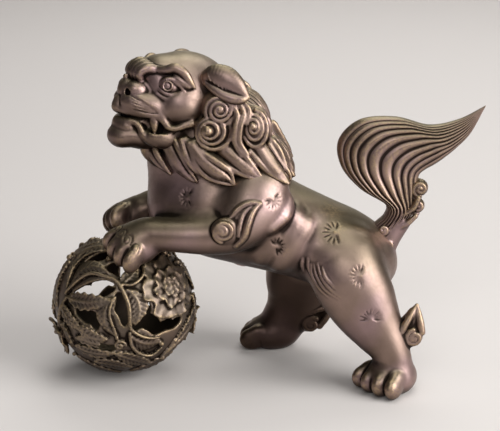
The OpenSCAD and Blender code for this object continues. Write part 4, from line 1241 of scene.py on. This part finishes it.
# leaves: azimuth and elevation at the base, the middle and the tip, half width, lift, cup, lobes
leaves = [
    [(-62, 70), (-78, 60), (-100, 46), 9.5, 1.4, 1.0, 5], [(-25, 68), (-46, 72), (-80, 74), 8, 1.2, 0.8, 4],
    [(-18, 66), (-62, 52), (-54, 25), 4.6, 1.2, 1.4, 0],
    [(-50, 27), (-44, 43), (-10, 44), 6.4, 0.2, -0.8, 0],
    [(-85, 42), (-84, 24), (-66, 4), 7.5, 0.8, 0.8, 4], [(-50, 18), (-30, 18), (-4, 22), 5.6, 0.9, 0.6, 3],
    [(-2, 25), (-11, 12), (-2, -8), 5.6, 0.6, -1.0, 0], [(2, 33), (12, 40), (24, 49), 4.8, 0.6, 1.0, 0],
    [(7, 31), (17, 19), (13, 0), 6.6, 0.5, 0.5, 3], [(100, 2), (74, -12), (43, -36), 7.0, 0.9, 0.7, 4],
    [(84, 12), (88, -4), (84, -20), 6.0, 1.2, 0.8, 3], [(8, -5), (21, -16), (37, -17), 6.2, 0.2, -0.6, 0],
    [(-56, 10), (-44, 2), (-30, -6), 4.6, 1.2, 0.8, 3], [(-34, -3), (-24, -9), (-8, -11), 5.2, 1.0, 0.6, 3],
    [(-44, -22), (-24, -26), (-2, -24), 4.6, 0.8, 0.6, 3],
    [(-4, -24), (14, -33), (34, -42), 5.0, 0.8, 0.6, 4],
    [(-14, -16), (-26, -14), (-40, -13), 3.8, 1.2, 0.6, 2],
    [(-60, -4), (-52, -14), (-50, -28), 4.8, 0.8, 0.8, 3],
    [(-30, -38), (-8, -40), (14, -46), 5.4, 0.4, 0.4, 3],
    [(60, -34), (40, -46), (10, -56), 5.4, 0.4, 0.4, 3],
    [(-60, -40), (-40, -50), (0, -60), 5.4, 0.4, 0.4, 3],
]
# stems: azimuth, elevation, height over the wall, radius
stems = [
    [(-53, 20, 1.4, 1.1), (-49, 25, 1.8, 1.3), (-40, 35, 2.0, 1.4), (-29, 41, 2.0, 1.4),
     (-14, 40, 2.0, 1.4), (-2, 37, 2.1, 1.5), (5, 28, 2.1, 1.5), (9, 17, 2.0, 1.5), (9.5, 7, 1.8, 1.4),
     (10, -1, 1.7, 1.3), (16, -7, 1.7, 1.2), (25, -11, 1.8, 1.1), (34, -12, 1.8, 0.9)],
    [(-2, 24, 1.4, 0.8), (-6, 16, 1.8, 1.0), (-6, 8, 1.8, 1.0), (-3, -1, 1.6, 1.0), (-1, -8, 1.4, 1.0)],
    [(28, 50, 1.6, 1.0), (27, 42, 2.0, 1.2), (20, 36, 2.1, 1.3), (12, 33, 2.0, 1.2), (4, 34, 1.8, 1.0)],
    [(9, -5, 1.4, 1.0), (11, -17, 1.8, 1.2), (19, -26, 1.9, 1.2), (30, -29, 1.9, 1.1), (38, -23, 1.6, 0.9)],
    [(-15, 66, 1.6, 1.0), (-44, 66, 2.0, 1.3), (-63, 57, 2.2, 1.4), (-61, 44, 2.2, 1.3),
     (-56, 35, 2.0, 1.2), (-54, 25, 1.6, 0.9)],
    [(-50, 18, 1.2, 1.2), (-56, 8, 1.4, 1.4), (-60, -4, 1.4, 1.4), (-64, -14, 1.2, 1.3)],
    [(88, -8, 1.6, 1.0), (70, -16, 1.8, 1.2), (54, -25, 1.8, 1.1), (44, -36, 1.4, 0.9)],
]
# beads: azimuth, elevation, radius
beads = [
    (37, -19, 1.9), (45, -37, 1.9), (-46, -20, 1.6), (-60, -38, 1.6), (-15, 56, 2.0), (-97, 64, 2.6),
    (-104, 53, 2.6), (-97, 40, 2.4), (-1, -9, 1.4),
]
# peonies, ring by ring: how many petals, distance from the middle, length, width, lift, cup
peonyRings = [(7, 13.5, 9.0, 8.6, 0.9, 1.4), (6, 7.5, 6.8, 6.2, 2.0, 1.2), (4, 3.2, 4.2, 4.0, 2.6, 0.9)]
cupRings = [(5, 7.0, 7.0, 6.2, 1.4, 3.6), (5, 4.0, 4.0, 3.6, 1.0, 2.2)]


# the direction at an azimuth (0 is -Y, 90 the statue's tail) and an elevation, in degrees
def towards(azimuth, elevation):
    a, e = np.radians(azimuth), np.radians(elevation)
    return np.stack([np.sin(a) * np.cos(e), -np.cos(a) * np.cos(e), np.sin(e) + 0 * a], axis=-1)


# height over the wall's outer face
def overWall(x, y, z):
    return np.sqrt(x * x + y * y + z * z) - wallOuter


# distance to the hollow wall, above its outer face and below its inner one
def ballWall(x, y, z):
    height = overWall(x, y, z)
    return np.maximum(height, -height - ballShape["wall"]).astype(np.float32)


# a strand over the ball: rows of azimuth, elevation, height over the wall, radius
def vine(clay, rows, blend=0.5, cut=False):
    rows = np.array(rows, float)
    points = towards(rows[:, 0], rows[:, 1]) * (wallOuter + rows[:, 2])[:, None]
    strand(clay, np.column_stack([points, rows[:, 3]]), blend, 4 * len(rows), cut)


# a leaf over the ball: its edge is (1 - t^2)^0.7 along its length t, wavy where it has lobes, and its face
# stands over the wall by the lift, the cup times the share across squared, a midrib and the veins
def leaf(clay, path, width, lift, cup, lobes):
    base, middle, tip = towards(*np.array(path, float).T) * wallOuter
    outward = unit(middle)
    along = unit((tip - base) - outward * ((tip - base) @ outward))
    across = np.cross(outward, along)
    half = abs((tip - base) @ along) / 2
    shift = ((tip + base) / 2 - middle) @ along
    bend = ((base - middle) @ across + (tip - middle) @ across) / 2

    def distance(x, y, z):
        px, py, pz = x - middle[0], y - middle[1], z - middle[2]
        a = px * along[0] + py * along[1] + pz * along[2] - shift
        t = a / half
        b = px * across[0] + py * across[1] + pz * across[2] - bend * t * t
        edge = width * np.clip(1 - t * t, 0, 1) ** 0.7 * (1.05 - 0.25 * t)
        if lobes:
            edge = edge * (1 + 0.13 * np.cos(2 * math.pi * lobes * (t + 0.12 * np.sign(b))))
        share = np.abs(b) / width
        surface = lift + cup * share ** 2 + 0.7 * np.exp(-(b / 0.7) ** 2) * (1 - 0.5 * t)
        veins = 0.3 * np.cos(2 * math.pi * (a - 0.8 * np.abs(b)) / ballShape["veinMm"])
        surface = surface + veins * np.clip(share * 3, 0, 1)
        flat = np.maximum((np.abs(b) - edge) * 0.85, np.abs(a) - half)
        face = np.abs(overWall(x, y, z) - surface) - ballShape["leafThick"] / 2
        return np.maximum(flat, face).astype(np.float32)
    reach = half + width + 3
    clay.shape(middle - reach, middle + reach, distance, 0.25)


# a petal: a disc of radius rho with a wavy rim at each angle, cupped most at its outer end and softly ribbed
def petal(clay, middle, along, length, width, lift, cup, phase):
    outward = unit(middle)
    along = unit(along - outward * (along @ outward))
    across = np.cross(outward, along)

    def distance(x, y, z):
        px, py, pz = x - middle[0], y - middle[1], z - middle[2]
        a = (px * along[0] + py * along[1] + pz * along[2]) / length
        b = (px * across[0] + py * across[1] + pz * across[2]) / width
        rho = np.sqrt(a * a + b * b)
        angle = np.arctan2(b, a)
        rim = 1 + 0.09 * np.cos(4 * angle + phase) + 0.05 * np.cos(7 * angle - phase)
        surface = lift + cup * rho ** 2 * (0.55 + 0.45 * np.cos(angle))
        surface = surface + 0.5 * rho ** 3 * np.sin(5 * angle + phase) + 0.22 * np.cos(9 * b) * rho
        face = np.abs(overWall(x, y, z) - surface) - ballShape["petalThick"] / 2
        return np.maximum((rho - rim) * min(length, width) * 0.8, face).astype(np.float32)
    reach = max(length, width) + 4
    clay.shape(middle - reach, middle + reach, distance, 0.2)


# a flower: rings of petals, each a little different, and where it has a heart, that with six stamens round it
def flower(clay, azimuth, elevation, rings, heart=0):
    outward = towards(azimuth, elevation)
    east = unit(np.cross([0, 0, 1], outward))
    north = np.cross(outward, east)
    for count, distance, length, width, lift, cup in rings:
        turn = rng.uniform(0, 6.28)
        for k in range(count):
            angle = turn + 2 * math.pi * k / count + rng.uniform(-0.15, 0.15)
            along = math.cos(angle) * east + math.sin(angle) * north
            size = rng.uniform(0.9, 1.12)
            middle = unit(outward * wallOuter + along * distance) * wallOuter
            raised = lift + rng.uniform(-0.2, 0.3)
            petal(clay, middle, along, length * size, width * size, raised, cup, rng.uniform(0, 6))
    if heart:
        egg(clay, outward * (wallOuter + 1.6), (heart, heart, heart), 0.4)
        for k in range(6):
            way = math.cos(k * math.pi / 3) * east + math.sin(k * math.pi / 3) * north
            egg(clay, outward * (wallOuter + 2.2) + heart * 0.8 * way, (0.9, 0.9, 0.9), 0.2)


# all that grows over one half of the ball, turned round the upright axis
def growth(clay, turn):
    for *path, width, lift, cup, lobes in leaves:
        leaf(clay, [(a + turn, e) for a, e in path], width, lift, cup, lobes)
    for rows in stems:
        vine(clay, [(a + turn, e, h, r) for a, e, h, r in rows])
    for a, e, r in beads:
        egg(clay, towards(a + turn, e) * (wallOuter + 1.6), (r, r, r), 0.3)
    tendril = []
    for k in np.linspace(0, 8, 14):  # a spiral that closes in by a ninth of its radius per radian
        shrink = 1 - k / 9
        tendril.append((1 + turn + 5 * math.cos(k) * shrink, -16 + 5 * math.sin(k) * shrink, 1.6, 1.1))
    vine(clay, tendril, 0.3)
    flower(clay, 50 + turn, 26, peonyRings, ballShape["heart"])
    flower(clay, -70 + turn, -22, cupRings)


def sculptBall():
    high = np.full(3, ballRadius + 3)
    clay = Clay(-high, high, ballShape["pitch"])
    clay.shape(-high, high, ballWall)
    for turn in (0, 180):
        for rows in piercings:
            vine(clay, [(a + turn, e, -1, r) for a, e, r in rows], 0.4, cut=True)
    for turn in (0, 180):
        growth(clay, turn)
    floor = -ballCentre[2]
    clay.shape(-high, (high[0], high[1], floor + 1), overLevel(floor), 0.4, cut=True)
    return clay


# the two halves as closed pieces: each is the clay cut just past the joint at the ball's middle, and where it
# is the whole ball's own surface it takes over that surface's points, normals and layers
def castBall():
    ball = sculptBall()
    points, faces = skinOf(ball)
    normals, layers = normalsOf(points, faces), reliefLayers(points, faces)
    numbered = np.full(ball.count, -1)
    numbered[tuple(ball.cells.T)] = np.arange(len(ball.cells))
    whole, heights = ball.field, ball.low[2] + ball.pitch * np.arange(ball.count[2])
    for name, sign in (("ball_upper_half", -1), ("ball_lower_half", 1)):
        ball.field = np.maximum(whole, sign * (heights.astype(np.float32)[None, None, :] - 0.3 * ball.pitch))
        halfPoints, halfFaces = surfaceOf(ball)
        same = numbered[tuple(ball.cells.T)]
        found = same >= 0
        clear = found & (sign * halfPoints[:, 2] < -1.2 * ball.pitch)
        halfPoints[clear] = points[same[clear]]
        halfNormals = normalsOf(halfPoints, halfFaces)
        halfNormals[found] = normals[same[found]]
        halfLayers = {key: np.where(found, values[same], 0) for key, values in layers.items()}
        halfPoints = halfPoints + ballCentre
        makePiece(name + "_casting", halfPoints, halfFaces, name, ballBronze, halfLayers, halfNormals)


castBall()
print("ball ready")

# the pins, plugs and fastenings keep the frame's shapes and only get their metals
fittings = {"tail_pin": iron, "neck_pins": bronze, "core_plugs": bronze, "ball_pins": ballBronze,
            "paw_studs": iron, "stud_washers": iron, "stud_nuts": iron}
for name, (metal, slot) in fittings.items():
    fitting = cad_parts[name]
    fitting.data.materials.clear()
    fitting.data.materials.append(metal)
print("fittings finished")
